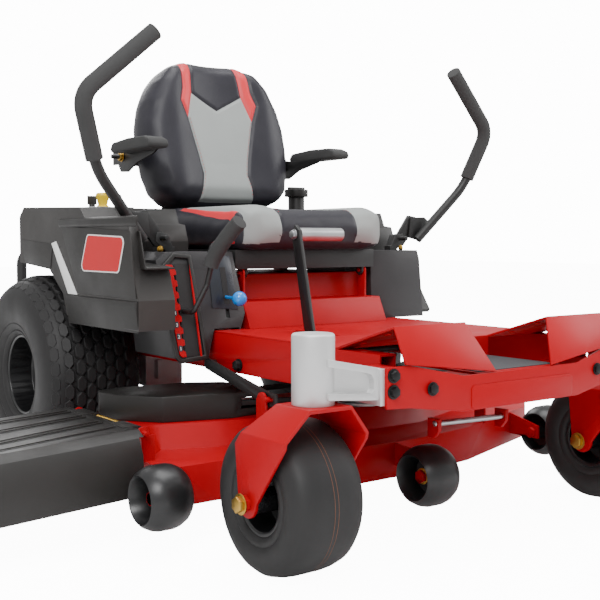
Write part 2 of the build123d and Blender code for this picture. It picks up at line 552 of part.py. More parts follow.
# ---- deck ----
DECK_PLAN = [(-560, -738), (-535, -772), (-440, -772), (-117, -842), (46, -842), (240, -815), (590, -690), (692, -600),
             (692, -420), (640, -330), (560, -284), (-440, -284), (-530, -330), (-560, -400)]
COVER_PLAN = [(-192, 90), (-180, 30), (-112, -58), (40, -102), (115, -90), (140, -30), (125, 70), (50, 115),
              (-130, 135), (-180, 120)]
COVER_H = 57.0
DOME_PLAN = [(-560, -700), (-478, -613), (-359, -653), (-130, -700), (200, -700), (420, -610), (600, -560),
             (600, -420), (540, -340), (-440, -340), (-560, -360)]


def plan_face(points, inset, z):
    face = make_face(Plane.XY.offset(z) * Polyline(*points, close=True))
    return offset(face, -inset) if inset else face


def deck_form(inset):
    skirt = extrude(plan_face(DECK_PLAN, inset, DECK_Z0 - (1 if inset else 0)),
                    amount=DECK_SHELF - DECK_Z0 - inset + (1 if inset else 0), dir=(0, 0, 1))
    dome = extrude(plan_face(DOME_PLAN, inset, DECK_SHELF - 10), amount=DECK_TOP - inset - DECK_SHELF + 10,
                   taper=30)
    return skirt + dome


def deck_shell():
    shell = deck_form(0) - deck_form(SHEET)
    shell -= block(-600, -540, CHUTE_Y0 + 20, CHUTE_Y1 - 60, DECK_Z0 + 4, DECK_SHELF - 10)
    for x, y in SPINDLES:
        shell -= rod_z(x, y, DECK_TOP - 20, DECK_TOP + 5, 40)
    for y in (CHUTE_Y0 + 20, CHUTE_Y1 - 20):
        shell += block(CHUTE_X - 4, CHUTE_X + 26, y - 3, y + 3, DECK_SHELF - 4, CHUTE_Z - 6)
        shell += rod((CHUTE_X, y - 3, CHUTE_Z), (CHUTE_X, y + 3, CHUTE_Z), 12)
    shell += rod((CHUTE_X, CHUTE_Y0, CHUTE_Z), (CHUTE_X, CHUTE_Y1, CHUTE_Z), 5)
    shell += roller_brackets()
    for sign in (-1, 1):
        x0, x1 = sorted((sign * (STRAP_X + 10), sign * (STRAP_X + 16)))
        shell += block(x0, x1, LINK_Y - 3, LINK_Y + 30, DECK_SHELF - 3, LINK_Z)
        shell += rod_x(x0, x1, LINK_Y + 12, LINK_Z, 15)
        shell += rod_x(sign * (STRAP_X - 2), sign * (STRAP_X + 16), LINK_Y, LINK_Z, 6)
    keep("deck_shell", shell)


def roller_brackets():
    """A bracket, bolt and nut for each roller; the bolt's head lies in the roller's open side."""
    parts = None
    half = ROLLER_W / 2
    for name, (x, y, z) in ROLLERS.items():
        back, s = ROLLER_ROOTS[name]
        bolt = rod_x(x - s * HUB_IN, x + s * (half + 14), y, z, ROLLER_BOLT_R)
        made = bolt + hex_head(x - s * (HUB_IN + GAP), y, z, 24, 10, (-s, 0, 0))
        made += hex_head(x + s * (half + 10), y, z, 24, 10, (s, 0, 0))
        x0 = x + s * (half + 4)
        made += prism_x([(y - 20, z - 14), (y - 20, z + 18), (back + 2, DECK_SHELF - 2), (back + 2, z - 14)],
                        min(x0, x0 + s * 6), max(x0, x0 + s * 6))
        parts = made if parts is None else parts + made
    return parts


def roller(name):
    x, y, z = ROLLERS[name]
    half, bore, s = ROLLER_W / 2, ROLLER_BOLT_R + RUN, ROLLER_ROOTS[name][1]
    profile = [(bore, -HUB_IN), (17, -HUB_IN), (19, 6), (38, 2), (44, -half + 3), (47, -half), (54, -half + 7),
               (61, -half + 21), (ROLLER_R, -14), (ROLLER_R, 14), (61, half - 21), (54, half - 7), (47, half),
               (44, half - 3), (40, 16), (19, 12), (17, half), (bore, half)]
    keep("roller_" + name, turned([(r, s * along) for r, along in profile], x, y, z))


def spindle_housings():
    housings = []
    for x, y in SPINDLES:
        body = rod_z(x, y, 128, 214, 40)
        body += rod_z(x, y, DECK_TOP, 208, 56)
        body -= rod_z(x, y, 100, 230, SPINDLE_R + RUN)
        housings.append(body)
    keep("spindle_housings", *housings)


def spindle(index):
    x, y = SPINDLES[index]
    shaft = rod_z(x, y, BLADE_Z + 6, BELT_Z + 12, SPINDLE_R)
    pulley = rod_z(x, y, BELT_Z - 13, BELT_Z - 8, PULLEY_R + 10) + rod_z(x, y, BELT_Z + 8, BELT_Z + 12, PULLEY_R + 10)
    pulley += rod_z(x, y, BELT_Z - 13, BELT_Z + 12, PULLEY_R)
    collar = rod_z(x, y, BLADE_Z + 6, 128 - GAP, 26)
    turned_part = shaft + pulley + collar
    half = BLADE_L / 2
    blade = block(x - half, x + half, y - 30, y + 30, BLADE_Z, BLADE_Z + 6)
    blade = blade & rod_z(x, y, BLADE_Z - 1, BLADE_Z + 7, half)
    sail = prism_y([(half - 110, BLADE_Z + 6), (half - 30, BLADE_Z + 6), (half - 30, BLADE_Z + 30),
                    (half - 80, BLADE_Z + 26)], 22, 27)
    blade += Pos(x, y, 0) * sail + Pos(x, y, 0) * (Rot(0, 0, 180) * sail)
    bolt = hex_head(x, y, BLADE_Z, 28, 12, (0, 0, -1))
    keep("spindle_" + ("right", "centre", "left")[index], turned_part + blade + bolt)


def hull_face(radius, z):
    circles = [Pos(x, y, 0) * Circle(radius) for x, y in SPINDLES]
    edges = []
    for circle in circles:
        edges += list(circle.edges())
    return Plane.XY.offset(z) * make_face(make_hull(edges))


def blade_belt():
    low, high = BELT_Z - 6, BELT_Z + 6
    ring = extrude(hull_face(PULLEY_R + GAP + 10, low), amount=high - low, dir=(0, 0, 1))
    ring -= extrude(hull_face(PULLEY_R + GAP, low), amount=high - low, dir=(0, 0, 1))
    keep("blade_belt", ring)


def pulley_covers():
    covers = []
    for (x, y), sign in ((SPINDLES[0], 1), (SPINDLES[2], -1)):
        outline = Polyline(*[(x + sign * a, y + b) for a, b in COVER_PLAN], close=True)
        face = make_face(outline)
        cover = extrude(Plane.XY.offset(DECK_TOP) * face, amount=COVER_H, dir=(0, 0, 1))
        hollow = Plane.XY.offset(DECK_TOP - 1) * offset(face, -WALL)
        cover -= extrude(hollow, amount=COVER_H + 1 - WALL, dir=(0, 0, 1))
        cover -= belt_way()
        covers.append(cover)
    keep("pulley_covers", *covers)


def belt_way():
    low, high = BELT_Z - 12, BELT_Z + 12
    return extrude(hull_face(PULLEY_R + 14, low), amount=high - low, dir=(0, 0, 1))


def chute_deflector():
    """The hinged guard over the outlet: a nearly level top with a rounded skirt down its front."""
    x, z, t = CHUTE_X, CHUTE_Z, 5.0
    front = CHUTE_Y0 + 10
    section = [(CHUTE_Y1, 12), (front, 12), (front - 22, -2), (front - 38, -33), (front - 46, -112),
               (front - 46 + t, -112), (front - 38 + t, -34), (front - 22 + t - 1, -5), (front + 2, 7), (CHUTE_Y1, 7)]
    body = prism_x([(y, z + up) for y, up in section], x - CHUTE_LEN, x - 14)
    body += block(x - CHUTE_LEN, x - 40, CHUTE_Y1 - t, CHUTE_Y1, z - 20, z + 12)
    body = Pos(x, 0, z) * Rot(0, -CHUTE_FALL, 0) * Pos(-x, 0, -z) * body
    body -= block(x - 24, x + 20, front - 60, CHUTE_Y0 + 4, 0, z - 2)
    for y0, y1 in ((CHUTE_Y0 + 40, CHUTE_Y0 + 110), (CHUTE_Y1 - 110, CHUTE_Y1 - 40)):
        body += rod((x, y0, z), (x, y1, z), 12)
        body += block(x - 34, x, y0, y1, z + 5, z + 12)
    body -= rod((x, CHUTE_Y0 - 5, z), (x, CHUTE_Y1 + 5, z), 5 + RUN)
    keep("chute_deflector", body)


# ---- controls ----
def lift_shaft():
    """Rockshaft with a strap at each end; a slot in each strap carries the deck's pin."""
    shaft = rod_x(-STRAP_X - 6, STRAP_X + 6, SHAFT_Y, SHAFT_Z, SHAFT_R)
    for sign in (-1, 1):
        x0, x1 = sorted((sign * STRAP_X, sign * (STRAP_X + 6)))
        strap = prism_x([(SHAFT_Y, SHAFT_Z - 13), (SHAFT_Y, SHAFT_Z + 13), (LINK_Y, LINK_Z + 15),
                         (LINK_Y, LINK_Z - 15)], x0, x1)
        strap += rod_x(x0, x1, SHAFT_Y, SHAFT_Z, 13) + rod_x(x0, x1, LINK_Y, LINK_Z, 15)
        strap += prism_x([(LINK_Y + 26, LINK_Z + 14), (LINK_Y - 26, LINK_Z + 14), (LINK_Y - 26, LINK_Z - 14),
                          (LINK_Y + 26, LINK_Z - 14)], x0, x1)
        along = Vector(0, LINK_Y - SHAFT_Y, LINK_Z - SHAFT_Z).normalized()
        middle = Vector(x0 - 1, LINK_Y, LINK_Z) + Vector(0, 0, 0.5)
        ends = [middle - along * 12, middle + along * 12]
        for end in ends:
            strap -= rod(tuple(end), tuple(end + Vector(8, 0, 0)), SLOT_R)
        across = Vector(0, -along.Z, along.Y) * SLOT_R
        corners = [ends[0] + across, ends[1] + across, ends[1] - across, ends[0] - across]
        strap -= prism_x([(p.Y, p.Z) for p in corners], x0 - 1, x1 + 1)
        shaft += strap
    keep("lift_shaft", shaft)


def lift_pedal():
    x0, x1 = PEDAL_X - 4, PEDAL_X + 4
    bar = prism_x([(PEDAL_Y - 14, PEDAL_Z), (PEDAL_Y + 14, PEDAL_Z - 4), (-684, 400), (-636, 616), (-650, 634), (-664, 622),
                   (-716, 400)], x0, x1)
    bar += rod_x(x0, x1, PEDAL_Y, PEDAL_Z, 15)
    bar -= rod_x(x0 - 5, x1 + 5, PEDAL_Y, PEDAL_Z, 8 + RUN)
    pin = rod_x(x1, x1 + 130, -650, 612, 6) + rod_x(x0 - 4, x0, -650, 612, 11)
    tread = rod_x(x1 + 1, x1 + 126, -650, 612, 15) - rod_x(x1, x1 + 130, -650, 612, 6)
    keep("lift_pedal", bar + pin, tread)


def height_lever():
    hub = rod_x(HEIGHT_X - 7, HEIGHT_X + 7, HEIGHT_Y, HEIGHT_Z, 14)
    bar = bent_bar([(HEIGHT_X, HEIGHT_Y, HEIGHT_Z), (HEIGHT_X, -580, 440), (-350, -588, 500), (-338, -600, 577),
                    (-320, -675, 637)], 6, 12)
    grip = bent_bar([(-342, -596, 549), (-338, -600, 577), (-320, -675, 637)], 14, 14)
    lever = hub + bar + grip
    lever -= rod_x(HEIGHT_X - 20, HEIGHT_X + 20, HEIGHT_Y, HEIGHT_Z, 6 + RUN)
    keep("height_lever", lever)


def speed_lever():
    x, y, z = SPEED
    arm = rod_x(x - 5, x + 5, y, z, 10) + rod((x, y, z), (x, -576, 466), 4)
    arm += Pos(x, -584, 466) * Sphere(17)
    arm -= rod_x(x - 9, x + 9, y, z, 4 + RUN)
    keep("speed_lever", arm)


def pto_knob():
    x, y = -KNOB[0], KNOB[1]
    keep("pto_knob", rod_z(x, y, 640, 700, 5) + rod_z(x, y, 692, 706, 17) + rod_z(x, y, 706, 712, 13))


def ignition_key():
    x, y = -KEY[0], KEY[1]
    keep("ignition_key", rod_z(x, y, 650, 690, 8) + block(x - 12, x + 12, y - 3, y + 3, 690, 712))


def throttle_lever():
    x, y = -THROTTLE[0], THROTTLE[1]
    keep("throttle_lever", block(x - 3, x + 3, y - 5, y + 5, 650, 706) + rod_x(x - 3, x + 3, y, 650, 8)
         + rod_x(x - 9, x + 9, y, 706, 9))


def fuel_cap():
    x, y = FILLER
    cap = rod_z(x, y, CAP_Z, CAP_Z + 22, 36)
    cap -= rod_z(x, y, CAP_Z - 1, CAP_Z + 4, FILLER_R + GAP)
    cap += block(x - 30, x + 30, y - 5, y + 5, CAP_Z + 22, CAP_Z + 30)
    keep("fuel_cap", cap)


def build_all():
    for make in (frame_rails, nose_frame, foot_platform, floor_pan, seat_riser, consoles, control_brackets,
                 height_gate, rear_frame, transaxles, engine, engine_shroud, muffler, fuel_tank, battery,
                 frame_bolts, seat_plate, seat_cushion, seat_back, deck_shell, spindle_housings, blade_belt,
                 pulley_covers, chute_deflector, lift_shaft, lift_pedal, height_lever, speed_lever, pto_knob,
                 ignition_key, throttle_lever, fuel_cap):
        make()
    for side in ("right", "left"):
        for make in (caster_arm, pod, armrest, lever_post, lever_tube, lever_grip, caster_fork, caster_wheel,
                     rear_wheel):
            make(side)
    for name in ROLLERS:
        roller(name)
    for index in range(3):
        spindle(index)


build_all()
limits = [shape.bounding_box() for shape in PARTS.values()]
OFFSET = (-(min(b.min.X for b in limits) + max(b.max.X for b in limits)) / 2,
          -(min(b.min.Y for b in limits) + max(b.max.Y for b in limits)) / 2,
          -min(b.min.Z for b in limits))
os.makedirs("parts", exist_ok=True)
for name, shape in PARTS.items():
    export_step(Pos(*OFFSET) * shape, "parts/" + name + ".step")
print("offset", *OFFSET)
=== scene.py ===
"""Zero turn mower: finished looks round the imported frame."""

import json
import math
import random

import bpy
from mathutils import Matrix, Vector

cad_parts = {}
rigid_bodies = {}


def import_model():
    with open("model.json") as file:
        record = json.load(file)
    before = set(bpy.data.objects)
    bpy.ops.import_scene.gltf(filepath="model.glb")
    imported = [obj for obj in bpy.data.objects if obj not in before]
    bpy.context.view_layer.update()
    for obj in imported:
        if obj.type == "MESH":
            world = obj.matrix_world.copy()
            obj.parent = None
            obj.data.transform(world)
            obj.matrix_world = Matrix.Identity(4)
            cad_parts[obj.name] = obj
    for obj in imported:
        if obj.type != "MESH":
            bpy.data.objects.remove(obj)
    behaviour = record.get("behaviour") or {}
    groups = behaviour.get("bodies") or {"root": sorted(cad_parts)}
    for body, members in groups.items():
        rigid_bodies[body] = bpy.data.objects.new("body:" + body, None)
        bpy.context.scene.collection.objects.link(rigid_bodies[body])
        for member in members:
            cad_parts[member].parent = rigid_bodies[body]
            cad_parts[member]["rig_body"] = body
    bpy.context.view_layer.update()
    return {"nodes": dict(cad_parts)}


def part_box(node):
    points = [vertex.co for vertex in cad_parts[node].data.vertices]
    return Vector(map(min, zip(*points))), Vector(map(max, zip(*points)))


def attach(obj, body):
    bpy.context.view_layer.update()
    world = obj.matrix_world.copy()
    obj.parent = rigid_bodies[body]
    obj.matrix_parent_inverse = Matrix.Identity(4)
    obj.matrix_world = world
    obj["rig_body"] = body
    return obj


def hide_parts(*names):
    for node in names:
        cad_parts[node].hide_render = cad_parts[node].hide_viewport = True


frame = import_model()
bpy.ops.object.select_all(action="DESELECT")

MM = 0.001
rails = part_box("frame_rails")
rear_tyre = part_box("rear_tyre_left")
MID_X = (rails[0].x + rails[1].x) / 2
AXLE_Y = (rear_tyre[0].y + rear_tyre[1].y) / 2
SIDES = {"right": -1, "left": 1}


def at(x, y, z):
    """A point given in millimetres from the centre plane, the rear axle and the ground."""
    return Vector((MID_X + x * MM, AXLE_Y + y * MM, z * MM))


def spot(node):
    """Middle of a node's box, in millimetres in the same measure as at()."""
    low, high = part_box(node)
    middle = (low + high) / 2
    return Vector(((middle.x - MID_X) / MM, (middle.y - AXLE_Y) / MM, middle.z / MM))


# ---- camera, floor and light ----
def aim_camera():
    yaw, pitch = math.radians(37.05), math.radians(2.99)
    data = bpy.data.cameras.new("camera")
    data.lens, data.sensor_width = 60.6, 36.0
    data.shift_x, data.shift_y = -0.0149, -0.0116
    camera = bpy.data.objects.new("camera", data)
    camera.location = at(-1515.9, -2506.8, 598.7)
    camera.rotation_euler = (math.radians(90) - pitch, 0, -yaw)
    bpy.context.scene.collection.objects.link(camera)
    bpy.context.scene.camera = camera


def area_light(name, place, target, size, power):
    data = bpy.data.lights.new(name, "AREA")
    data.shape, data.size, data.energy = "SQUARE", size, power
    lamp = bpy.data.objects.new(name, data)
    lamp.location = place
    lamp.rotation_euler = (Vector(target) - Vector(place)).to_track_quat("-Z", "Y").to_euler()
    bpy.context.scene.collection.objects.link(lamp)


def studio():
    bpy.ops.mesh.primitive_plane_add(size=40, location=(0, 0, 0))
    floor = bpy.context.object
    floor.name = "studio_floor"
    paper = bpy.data.materials.new("white_paper_sweep")
    paper.use_nodes = True
    shader = paper.node_tree.nodes["Principled BSDF"]
    shader.inputs["Base Color"].default_value = (*linear("#EFEFEF"), 1)
    shader.inputs["Roughness"].default_value = 0.7
    shader.inputs["Emission Color"].default_value = (1, 1, 1, 1)
    seen = add(paper.node_tree, "ShaderNodeLightPath").outputs["Is Camera Ray"]
    glow = add(paper.node_tree, "ShaderNodeMath", [(0, seen), (1, 12.0)], operation="MULTIPLY")
    paper.node_tree.links.new(glow.outputs[0], shader.inputs["Emission Strength"])
    floor.data.materials.append(paper)
    world = bpy.data.worlds.new("studio")
    world.use_nodes = True
    tree = world.node_tree
    seen = add(tree, "ShaderNodeLightPath").outputs["Is Camera Ray"]
    strength = add(tree, "ShaderNodeMapRange", [("Value", seen), ("To Min", 0.8), ("To Max", 14.0)])
    tree.nodes["Background"].inputs["Color"].default_value = (1, 1, 1, 1)
    tree.links.new(strength.outputs[0], tree.nodes["Background"].inputs["Strength"])
    bpy.context.scene.world = world
    area_light("key", (-2.6, -3.0, 3.4), (0.1, 0, 0.5), 2.0, 165)
    area_light("top", (0.4, -0.4, 4.2), (0.1, 0, 0.4), 2.6, 125)
    area_light("side", (3.4, -1.6, 2.4), (0.1, 0, 0.5), 2.0, 65)
    area_light("back", (1.0, 3.6, 3.0), (0.1, 0, 0.6), 2.4, 90)


# ---- materials ----
def linear(code):
    """An sRGB hex colour as linear values."""
    values = [int(code[i:i + 2], 16) / 255 for i in (1, 3, 5)]
    return [v / 12.92 if v <= 0.04045 else ((v + 0.055) / 1.055) ** 2.4 for v in values]


def add(tree, kind, inputs=(), **settings):
    """Adds a node; inputs are (socket, value) pairs, where a value may be another node's output."""
    made = tree.nodes.new(kind)
    for name, value in settings.items():
        setattr(made, name, value)
    for socket, value in inputs:
        if isinstance(value, bpy.types.NodeSocket):
            tree.links.new(value, made.inputs[socket])
        else:
            made.inputs[socket].default_value = value
    return made


def grain(tree, place, kind, size_mm, detail=3.0):
    """A pattern whose cells are size_mm across."""
    if kind == "cells":
        return add(tree, "ShaderNodeTexVoronoi", [("Vector", place), ("Scale", 1000 / size_mm)]).outputs["Distance"]
    if kind == "brushed":
        turned = add(tree, "ShaderNodeMapping", [("Vector", place), ("Scale", (1, 40, 40))])
        return add(tree, "ShaderNodeTexNoise", [("Vector", turned.outputs[0]), ("Scale", 1000 / size_mm / 40),
                                                ("Detail", detail)]).outputs["Fac"]
    return add(tree, "ShaderNodeTexNoise", [("Vector", place), ("Scale", 1000 / size_mm),
                                            ("Detail", detail)]).outputs["Fac"]


def surface(name, dark, light, rough, fine, depth_mm, patch_mm=90, metal=0.0, painted_edge_highlight=None, **fixed):
    """A finish with patchy colour, uneven roughness and a fine texture.

    rough is (lowest, highest); fine is (pattern kind, size in mm); the optional edge colour is a hex colour painted
    onto convex edges as a highlight.
    """
    material = bpy.data.materials.new(name)
    material.use_nodes = True
    tree = material.node_tree
    shader = tree.nodes["Principled BSDF"]
    place = add(tree, "ShaderNodeTexCoord").outputs["Object"]
    patch = grain(tree, place, "noise", patch_mm, 4.0)
    texture = grain(tree, place, fine[0], fine[1])
    shade = add(tree, "ShaderNodeMix", [(0, patch), (6, (*linear(dark), 1)), (7, (*linear(light), 1))],
                data_type="RGBA")
    colour = shade.outputs[2]
    # Painted highlight: convex edges, found by Pointiness, are mixed towards the lighter edge colour.
    if painted_edge_highlight:
        edge = add(tree, "ShaderNodeNewGeometry").outputs["Pointiness"]
        highlight_mask = add(tree, "ShaderNodeMapRange", [("Value", edge), ("From Min", 0.54), ("From Max", 0.62),
                                                ("To Max", 0.6)])
        colour = add(tree, "ShaderNodeMix", [(0, highlight_mask.outputs[0]), (6, colour), (7, (*linear(painted_edge_highlight), 1))],
                     data_type="RGBA").outputs[2]
    tree.links.new(colour, shader.inputs["Base Color"])
    spread = add(tree, "ShaderNodeMapRange", [("Value", patch), ("From Min", 0.3), ("From Max", 0.7),
                                              ("To Min", rough[0]), ("To Max", rough[1])])
    tree.links.new(spread.outputs[0], shader.inputs["Roughness"])
    raised = add(tree, "ShaderNodeBump", [("Height", texture), ("Distance", depth_mm * MM), ("Strength", 0.8)])
    tree.links.new(raised.outputs[0], shader.inputs["Normal"])
    shader.inputs["Metallic"].default_value = metal
    for socket, value in fixed.items():
        shader.inputs[socket.replace("_", " ")].default_value = value
    return material


def make_materials():
    made = {}
    # Gloss polyester powder coat on steel: clear bright red with a faint orange peel, 3 mm waves.
    made["red"] = surface("red_powder_coat", "#A2000C", "#AE0012", (0.38, 0.48), ("noise", 4), 0.05,
                          Specular_IOR_Level=0.16, Coat_Weight=0.03, Coat_Roughness=0.1)
    # Gloss black enamel on pressed steel wheels and levers.
    made["black_enamel"] = surface("black_enamel", "#0E0E0F", "#161617", (0.24, 0.36), ("noise", 4), 0.05,
                                   Coat_Weight=0.2)
    # Satin black powder coat on brackets and tubes.
    made["black_coat"] = surface("black_powder_coat", "#151515", "#1E1E1E", (0.42, 0.55), ("noise", 2), 0.08)
    # Moulded polypropylene with a spark-eroded texture; the 0.5 mm grain is drawn at 1.6 mm to show. Its convex edges
    # get a painted highlight.
    made["black_plastic"] = surface("moulded_polypropylene", "#141211", "#1B1917", (0.42, 0.56), ("noise", 1.6), 0.22,
                                    painted_edge_highlight="#3A3735", Specular_IOR_Level=0.5)
    # Moulded ABS of the consoles: dark grey, satin, with a painted highlight on its convex edges.
    made["grey_plastic"] = surface("moulded_abs", "#232223", "#2C2B2C", (0.38, 0.50), ("noise", 1.6), 0.15,
                                   painted_edge_highlight="#48474A", Specular_IOR_Level=0.5)
    # Sand-cast aluminium, shot blasted: pale, matt and slightly pitted.
    made["cast"] = surface("cast_aluminium", "#C4C4C4", "#DEDEDE", (0.40, 0.56), ("noise", 2.2), 0.35, metal=0.6)
    # Vulcanised tyre rubber: near black, dusty matt.
    made["rubber"] = surface("tyre_rubber", "#1A191A", "#242323", (0.50, 0.66), ("noise", 1.4), 0.12,
                             Specular_IOR_Level=0.4)
    # Nitrile foam grip: charcoal, matt, with 1.5 mm cells.
    made["foam"] = surface("nitrile_foam", "#373737", "#434343", (0.75, 0.88), ("cells", 1.8), 0.22,
                           Specular_IOR_Level=0.25)
    # Faded paint lines left on a tyre by its maker.
    made["tyre_line"] = surface("tyre_paint_line", "#5A3222", "#7A4A2C", (0.6, 0.7), ("noise", 2), 0.02)
    # Expanded vinyl seat cover, leather grain of 1.8 mm.
    made["vinyl_black"] = surface("black_vinyl", "#26252B", "#313036", (0.34, 0.46), ("cells", 2.2), 0.25,
                                  Specular_IOR_Level=0.3)
    # Light grey perforated-look vinyl of the seat's middle.
    made["vinyl_grey"] = surface("grey_vinyl", "#8C908E", "#9A9E9C", (0.48, 0.62), ("cells", 2.2), 0.22)
    # Red vinyl accent strips.
    made["vinyl_red"] = surface("red_vinyl", "#D0202A", "#DC2A34", (0.42, 0.55), ("cells", 2.2), 0.2)
    # Twisted polyester thread.
    made["thread"] = surface("red_thread", "#C02028", "#D8343A", (0.6, 0.7), ("noise", 0.8), 0.1)
    # Yellow-chromated zinc plate on fasteners.
    made["yellow_zinc"] = surface("yellow_zinc_plate", "#B08A38", "#CDA85A", (0.28, 0.42), ("noise", 3), 0.05,
                                  patch_mm=12, metal=1.0)
    # Clear zinc plate.
    made["zinc"] = surface("zinc_plate", "#A8ABAD", "#C6C8CA", (0.26, 0.40), ("brushed", 0.8), 0.05, patch_mm=30,
                           metal=1.0)
    # Black phosphated steel bolts.
    made["black_bolt"] = surface("phosphated_steel", "#0F0F10", "#1A1A1B", (0.35, 0.5), ("noise", 1), 0.05,
                                 patch_mm=10, metal=0.5)
    # Ground blade steel.
    made["blade"] = surface("blade_steel", "#5E6062", "#8A8C8E", (0.35, 0.5), ("brushed", 1.0), 0.06, metal=1.0)
    # Turned aluminium tread roller.
    made["roller"] = surface("turned_aluminium", "#B4B5B6", "#D2D3D4", (0.30, 0.42), ("brushed", 0.7), 0.05, metal=0.9)
    # Moulded nylon rollers: black, slightly shiny.
    made["nylon"] = surface("black_nylon", "#151516", "#1F1F20", (0.30, 0.42), ("noise", 2), 0.08)
    # Ball knob of polished phenolic, blue.
    made["blue"] = surface("blue_phenolic", "#0B7BD6", "#1690EE", (0.14, 0.2), ("noise", 6), 0.02, Coat_Weight=0.5)
    # Yellow moulded knob.
    made["yellow"] = surface("yellow_abs", "#DDB800", "#F0CB10", (0.3, 0.38), ("noise", 3), 0.04)
    # Mineral-coated grip tape; 0.7 mm grit drawn at 1.8 mm.
    made["grit"] = surface("grip_tape", "#26272A", "#4A4B4E", (0.8, 0.95), ("cells", 2.0), 0.6, patch_mm=6)
    # Printed polyester labels.
    made["white_label"] = surface("white_label", "#E8E8E6", "#F2F2F0", (0.3, 0.4), ("noise", 8), 0.01)
    made["red_label"] = surface("red_label", "#C40410", "#CC0814", (0.3, 0.4), ("noise", 8), 0.01, Specular_IOR_Level=0.3)
    made["dark_label"] = surface("dark_label", "#20242C", "#2A2E36", (0.25, 0.32), ("noise", 8), 0.01)
    # Mill-finish exhaust steel, heat tinted.
    made["exhaust"] = surface("aluminised_steel", "#6B6460", "#8E8883", (0.4, 0.55), ("noise", 2), 0.08, patch_mm=40,
                              metal=1.0)
    # Neoprene belt.
    made["belt"] = surface("neoprene_belt", "#141414", "#1E1D1C", (0.6, 0.75), ("noise", 1), 0.1)
    return made


# ---- modelling helpers ----
def deselect():
    if bpy.context.object and bpy.context.object.mode != "OBJECT":
        bpy.ops.object.mode_set(mode="OBJECT")
    bpy.ops.object.select_all(action="DESELECT")


def pick(piece):
    deselect()
    piece.select_set(True)
    bpy.context.view_layer.objects.active = piece


def settle(piece):
    """Puts the piece's place and turn into its mesh."""
    pick(piece)
    bpy.ops.object.transform_apply(location=True, rotation=True, scale=True)


def modify(piece, kind, **settings):
    pick(piece)
    modifier = piece.modifiers.new(kind.lower(), kind)
    for name, value in settings.items():
        setattr(modifier, name, value)
    bpy.ops.object.modifier_apply(modifier=modifier.name)


def eased(piece, width, segments=2, angle=28):
    """Rounds the sharp edges by width millimetres and shades the rest smooth."""
    modify(piece, "BEVEL", width=width * MM, segments=segments, limit_method="ANGLE",
           angle_limit=math.radians(angle), use_clamp_overlap=True, harden_normals=False)
    smooth(piece, 32)


def smooth(piece, angle=40):
    pick(piece)
    bpy.ops.object.shade_smooth_by_angle(angle=math.radians(angle))


def outward(piece):
    pick(piece)
    bpy.ops.object.mode_set(mode="EDIT")
    bpy.ops.mesh.select_all(action="SELECT")
    bpy.ops.mesh.remove_doubles(threshold=0.00002)
    bpy.ops.mesh.normals_make_consistent(inside=False)
    bpy.ops.object.mode_set(mode="OBJECT")


def finish(piece, name, material, body, replaces=()):
    """Names a piece, gives it its material and lets it ride on its body."""
    piece.name = name
    piece.data.name = name
    if material is not None:
        piece.data.materials.clear()
        piece.data.materials.append(material)
    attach(piece, body)
    if replaces:
        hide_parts(*replaces)
    deselect()
    return piece


def join(pieces):
    pick(pieces[0])
    for piece in pieces[1:]:
        piece.select_set(True)
    if len(pieces) > 1:
        bpy.ops.object.join()
    return bpy.context.object


def outline_face(points, name="outline"):
    """A single face through 3-D points."""
    mesh = bpy.data.meshes.new(name)
    mesh.from_pydata([tuple(p) for p in points], [], [tuple(range(len(points)))])
    piece = bpy.data.objects.new(name, mesh)
    bpy.context.scene.collection.objects.link(piece)
    pick(piece)
    return piece


def slab(points, push):
    """The face through the points, pushed out by the vector push into a closed solid."""
    piece = outline_face(points)
    bpy.ops.object.mode_set(mode="EDIT")
    bpy.ops.mesh.select_all(action="SELECT")
    bpy.ops.mesh.extrude_region_move(TRANSFORM_OT_translate={"value": tuple(push)})
    bpy.ops.object.mode_set(mode="OBJECT")
    outward(piece)
    return piece


def slab_x(points, x0, x1):
    """A (y, z) outline between two x places, all in millimetres."""
    return slab([at(x0, y, z) for y, z in points], ((x1 - x0) * MM, 0, 0))


def slab_y(points, y0, y1):
    return slab([at(x, y0, z) for x, z in points], (0, (y1 - y0) * MM, 0))


def slab_z(points, z0, z1):
    return slab([at(x, y, z0) for x, y in points], (0, 0, (z1 - z0) * MM))


def block(x0, x1, y0, y1, z0, z1):
    return slab_z([(x0, y0), (x1, y0), (x1, y1), (x0, y1)], z0, z1)


def lathe(profile, middle, axis="X", steps=96):
    """Spins a closed (radius, along) outline, in millimetres, about an axis through the point middle."""
    turn = {"X": Matrix.Identity(3), "Y": Matrix.Rotation(math.radians(90), 3, "Z"),
            "Z": Matrix.Rotation(math.radians(-90), 3, "Y")}[axis]
    along, across = turn @ Vector((1, 0, 0)), turn @ Vector((0, 0, 1))
    centre = at(*middle)
    points = [centre + along * (a * MM) + across * (r * MM) for r, a in profile]
    mesh = bpy.data.meshes.new("profile")
    count = len(points)
    mesh.from_pydata([tuple(p) for p in points], [(i, (i + 1) % count) for i in range(count)], [])
    piece = bpy.data.objects.new("profile", mesh)
    bpy.context.scene.collection.objects.link(piece)
    pick(piece)
    bpy.ops.object.mode_set(mode="EDIT")
    bpy.ops.mesh.select_all(action="SELECT")
    bpy.ops.mesh.spin(steps=steps, angle=math.tau, center=tuple(centre), axis=tuple(along))
    bpy.ops.object.mode_set(mode="OBJECT")
    outward(piece)
    return piece


def pipe(points, radius, name="pipe", order=3, resolution=12, sides=6):
    """A round bar along points in millimetres, its corners drawn as smooth bends."""
    curve = bpy.data.curves.new(name, "CURVE")
    curve.dimensions, curve.bevel_depth, curve.bevel_resolution = "3D", radius * MM, sides
    curve.use_fill_caps = True
    spline = curve.splines.new("NURBS")
    spline.points.add(len(points) - 1)
    for point, place in zip(spline.points, points):
        point.co = (*at(*place), 1)
    spline.order_u, spline.use_endpoint_u, spline.resolution_u = order, True, resolution
    piece = bpy.data.objects.new(name, curve)
    bpy.context.scene.collection.objects.link(piece)
    pick(piece)
    bpy.ops.object.convert(target="MESH")
    outward(bpy.context.object)
    return bpy.context.object


